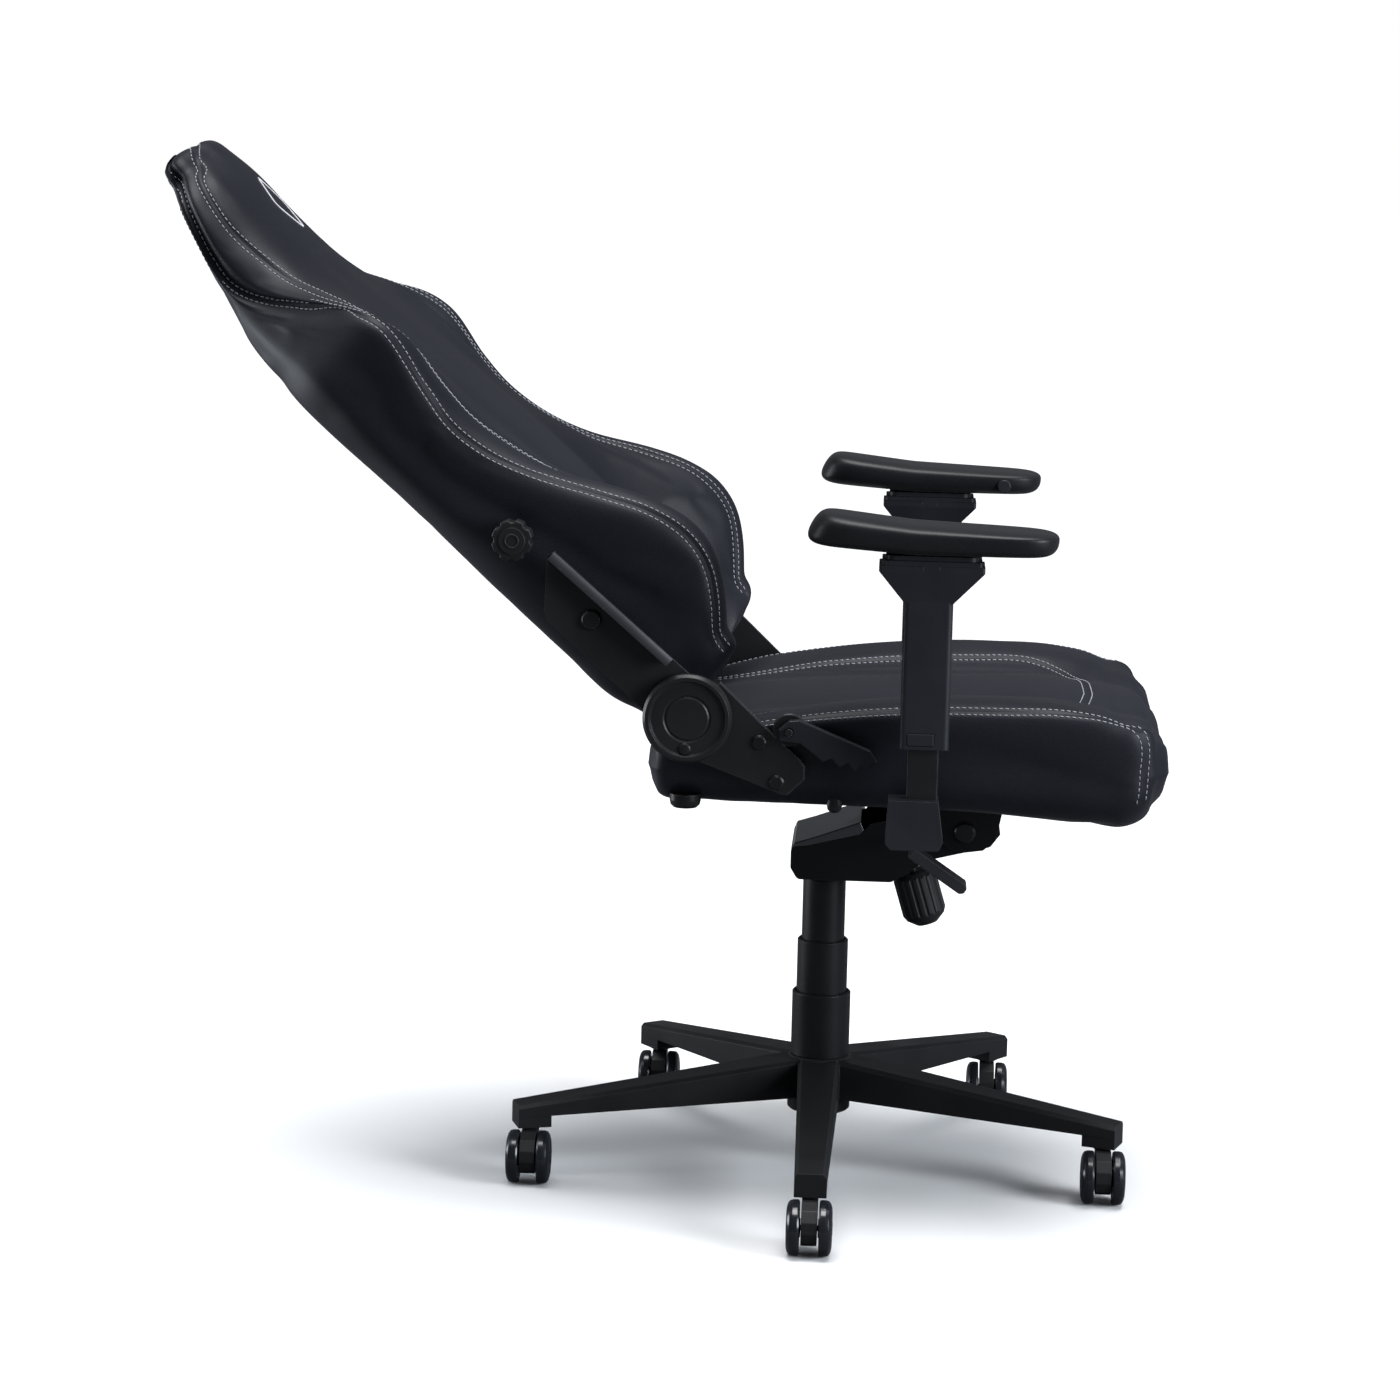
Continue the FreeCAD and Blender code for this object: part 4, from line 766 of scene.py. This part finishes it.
back_lines = [
    (0, 0, rear), (0.5, 0, rear), (1, 0.030, raised(rear, 0.001)),
    (1, rear_edge_inset, blended(side_seam, rear, 0.78)), (1, 0, blended(side_seam, rear, 0.4)),
    (1, side_seam_inset, side_seam), (1, ridge_inset, blended(side_seam, crest, 0.6)),
    (1, crest_inset, crest), (1, face_seam_inset, face_seam), (1, slope_inset, slope),
    (1, valley_inset, valley), (0.3, 0, raised(middle, 0.001)), (0, 0, raised(middle, 0.003))]

BACK_LOW, BACK_HIGH = 0.032, 0.800
stations = np.linspace(BACK_LOW, BACK_HIGH, 104)
back_cover = sheet_mesh("back_cover", cushion_points(
    back_half_width, back_lines, stations, (0.028, 0.006, 0.32), (0.021, 0.004, 0.30), back_place),
    cover)

# seams: down each side, down each wing's inner edge, and both carried over the head
back_seams = []
climb = np.linspace(0.012, 0.788, 132)
over = np.linspace(-1, 1, 30)
for line, inset, height in ((side_seam, side_seam_inset, 0.017),
                            (face_seam, face_seam_inset, 0.052)):
    out = through(climb, line)
    across = through(climb, back_half_width) - through(climb, inset)
    ends = across[-1] * 0.96
    arch = back_place(0.795 + 0.030 * (1 - over ** 2), np.full(30, height), over * ends)
    back_seams.append(np.concatenate([back_place(climb, out, -across), arch,
                                      back_place(climb, out, across)[::-1]]))
upholster(back_cover, back_seams, MOST_SWELL)
finish_piece(back_cover, "back")
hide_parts("back_cushion", "back_panel")
finish_piece(stitches("back_stitching", back_cover, back_seams, thread), "back")

# a plain closed rhombus in satin stitch on the head; its path runs on past its start, so
# that the outline has no gap
bright_thread = thread_finish("bright_thread", (0.5, 0.5, 0.52), (0.8, 0.8, 0.83))
corners = np.array([(0.752, 0), (0.711, 0.030), (0.670, 0), (0.711, -0.030), (0.752, 0),
                    (0.711, 0.030)])
rhombus = back_place(corners[:, 0], np.full(6, 0.065), corners[:, 1])
marks = [even_path(rhombus, 0.002)]
finish_piece(stitches("head_mark", back_cover, marks, bright_thread, (0,), 0.0013,
                      (0.0018, 0.0008, 0.0008), True), "back")

# a lighter satin strip on the outer edge of each turning plate's lip: a painted highlight standing
# in for the bright bevelled edge
low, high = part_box("back_brackets")
run = np.array([[-0.2950, 0.7352], [-0.1665, 0.6242]])
lip_across = np.array([[0.0032, 0.0037], [-0.0040, -0.0046]])
PROUD, SUNK, FLAT_SHARE = 0.0007, -0.0012, 0.9
# the strip's light colour is a painted highlight on the plate's edge
lip_highlight_paint = coated("lip_highlight_paint", (0.075, 0.075, 0.082), (0.2, 0.2, 0.21), 0.32, 900, 0.00004,
                     0.5, 0.5)
for side, face, way in (("right", low[1], -1), ("left", high[1], 1)):
    rows = []
    for share in np.linspace(0, 1, 24):
        x, z = run[0] + share * (run[1] - run[0])
        rows.append([(x + along, face + way * lift, z + up) for (along, up), lift in
                     ((lip_across[0], SUNK), (lip_across[0] * FLAT_SHARE, PROUD),
                      (lip_across[1] * FLAT_SHARE, PROUD), (lip_across[1], SUNK))])
    strip = sheet_mesh(f"lip_highlight_strip_{side}", np.array(rows), lip_highlight_paint)
    finish_piece(strip, "back")

# a smooth ring on the knob's face, and a screw low on each round cover
low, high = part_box("lumbar_knob")
ring = [(0.0062, 0.0), (0.0064, 0.0009), (0.0076, 0.0009), (0.0078, 0.0), (0.0062, 0.0)]
knob_face = ((low[0] + high[0]) / 2, low[1], (low[2] + high[2]) / 2)
knob_ring = turned_piece("knob_ring", ring, knob_face, (0, -1, 0), plate_coat, 40)
finish_piece(knob_ring, "lumbar_knob")
low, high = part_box("recliner_covers")
screw_head = [(0, 0.0020), (0.0050, 0.0020), (0.0066, 0.0012), (0.0072, -0.0004),
              (0, -0.0004)]
for side, face, way in (("right", low[1] + 0.003, -1), ("left", high[1] - 0.003, 1)):
    place = (pivot[0] - 0.002, face, pivot[2] - 0.033)
    screw = turned_piece(f"cover_screw_{side}", screw_head, place, (0, way, 0), bolt_black, 24)
    finish_piece(screw, "seat")

# ---------------------------------------------------------------------------------------
# Armrests. Steel posts in moulded shrouds and sleeves, sliding plates under each pad, and
# soft moulded pads with a fine matt skin.

arm_plastic = coated("arm_plastic", (0.016, 0.017, 0.021), (0.04, 0.04, 0.045), 0.42, 1600)
pad_skin = leather("pad_skin", (0.012, 0.012, 0.014), (0.016, 0.016, 0.018), 0.4)
for side in ("right", "left"):
    dress(arm_plastic, *(f"{part}_{side}" for part in (
        "arm_sleeve", "arm_button", "arm_slide_plate", "arm_swivel_plate",
        "pad_button")))
dress(arm_plastic, "recline_lever", "lumbar_plate", "arm_shrouds")


def pad_points(low, high, drop, rows=56, columns=72):
    """A pad as a rounded slab with blunt ends. Its plan and its sections are
    superellipses; the top falls by drop to the front, and the rear end leans forward
    and rises a little."""
    centre = (np.array(low) + np.array(high)) / 2
    half = (np.array(high) - np.array(low)) / 2
    part = np.sin(np.linspace(-np.pi / 2, np.pi / 2, rows))[:, None]
    angle = np.linspace(0, 2 * np.pi, columns, endpoint=False)[None, :]
    narrow = (1 - np.abs(part) ** 7) ** (1 / 2.3)
    thick = (1 - np.abs(part) ** 16) ** (1 / 2.2)
    side = np.sign(np.cos(angle)) * np.abs(np.cos(angle)) ** 0.5
    rise = np.sign(np.sin(angle)) * np.abs(np.sin(angle)) ** 0.62
    fall = drop * (part + 1) / 2
    x = centre[0] + half[0] * part + 0.009 * (rise * thick + 0.4) * np.clip(-part, 0, 1) ** 5
    y = centre[1] + half[1] * narrow * side * (1 - 0.05 * (rise < 0) * np.abs(rise))
    top_height = high[2] - fall - centre[2]
    z = centre[2] + np.where(rise > 0, top_height, half[2]) * thick * rise
    z = z + 0.009 * np.clip(-part - 0.15, 0, 1)
    return np.stack(np.broadcast_arrays(x, y, z), axis=-1)


for side in ("right", "left"):
    low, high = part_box(f"arm_pad_{side}")
    pad = sheet_mesh(f"pad_{side}", pad_points(low, high, 0.012), pad_skin)
    finer = pad.modifiers.new("finer", "SUBSURF")
    finer.levels = finer.render_levels = 1
    finish_piece(pad, f"arm_pad_{side}")
    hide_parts(f"arm_pad_{side}")
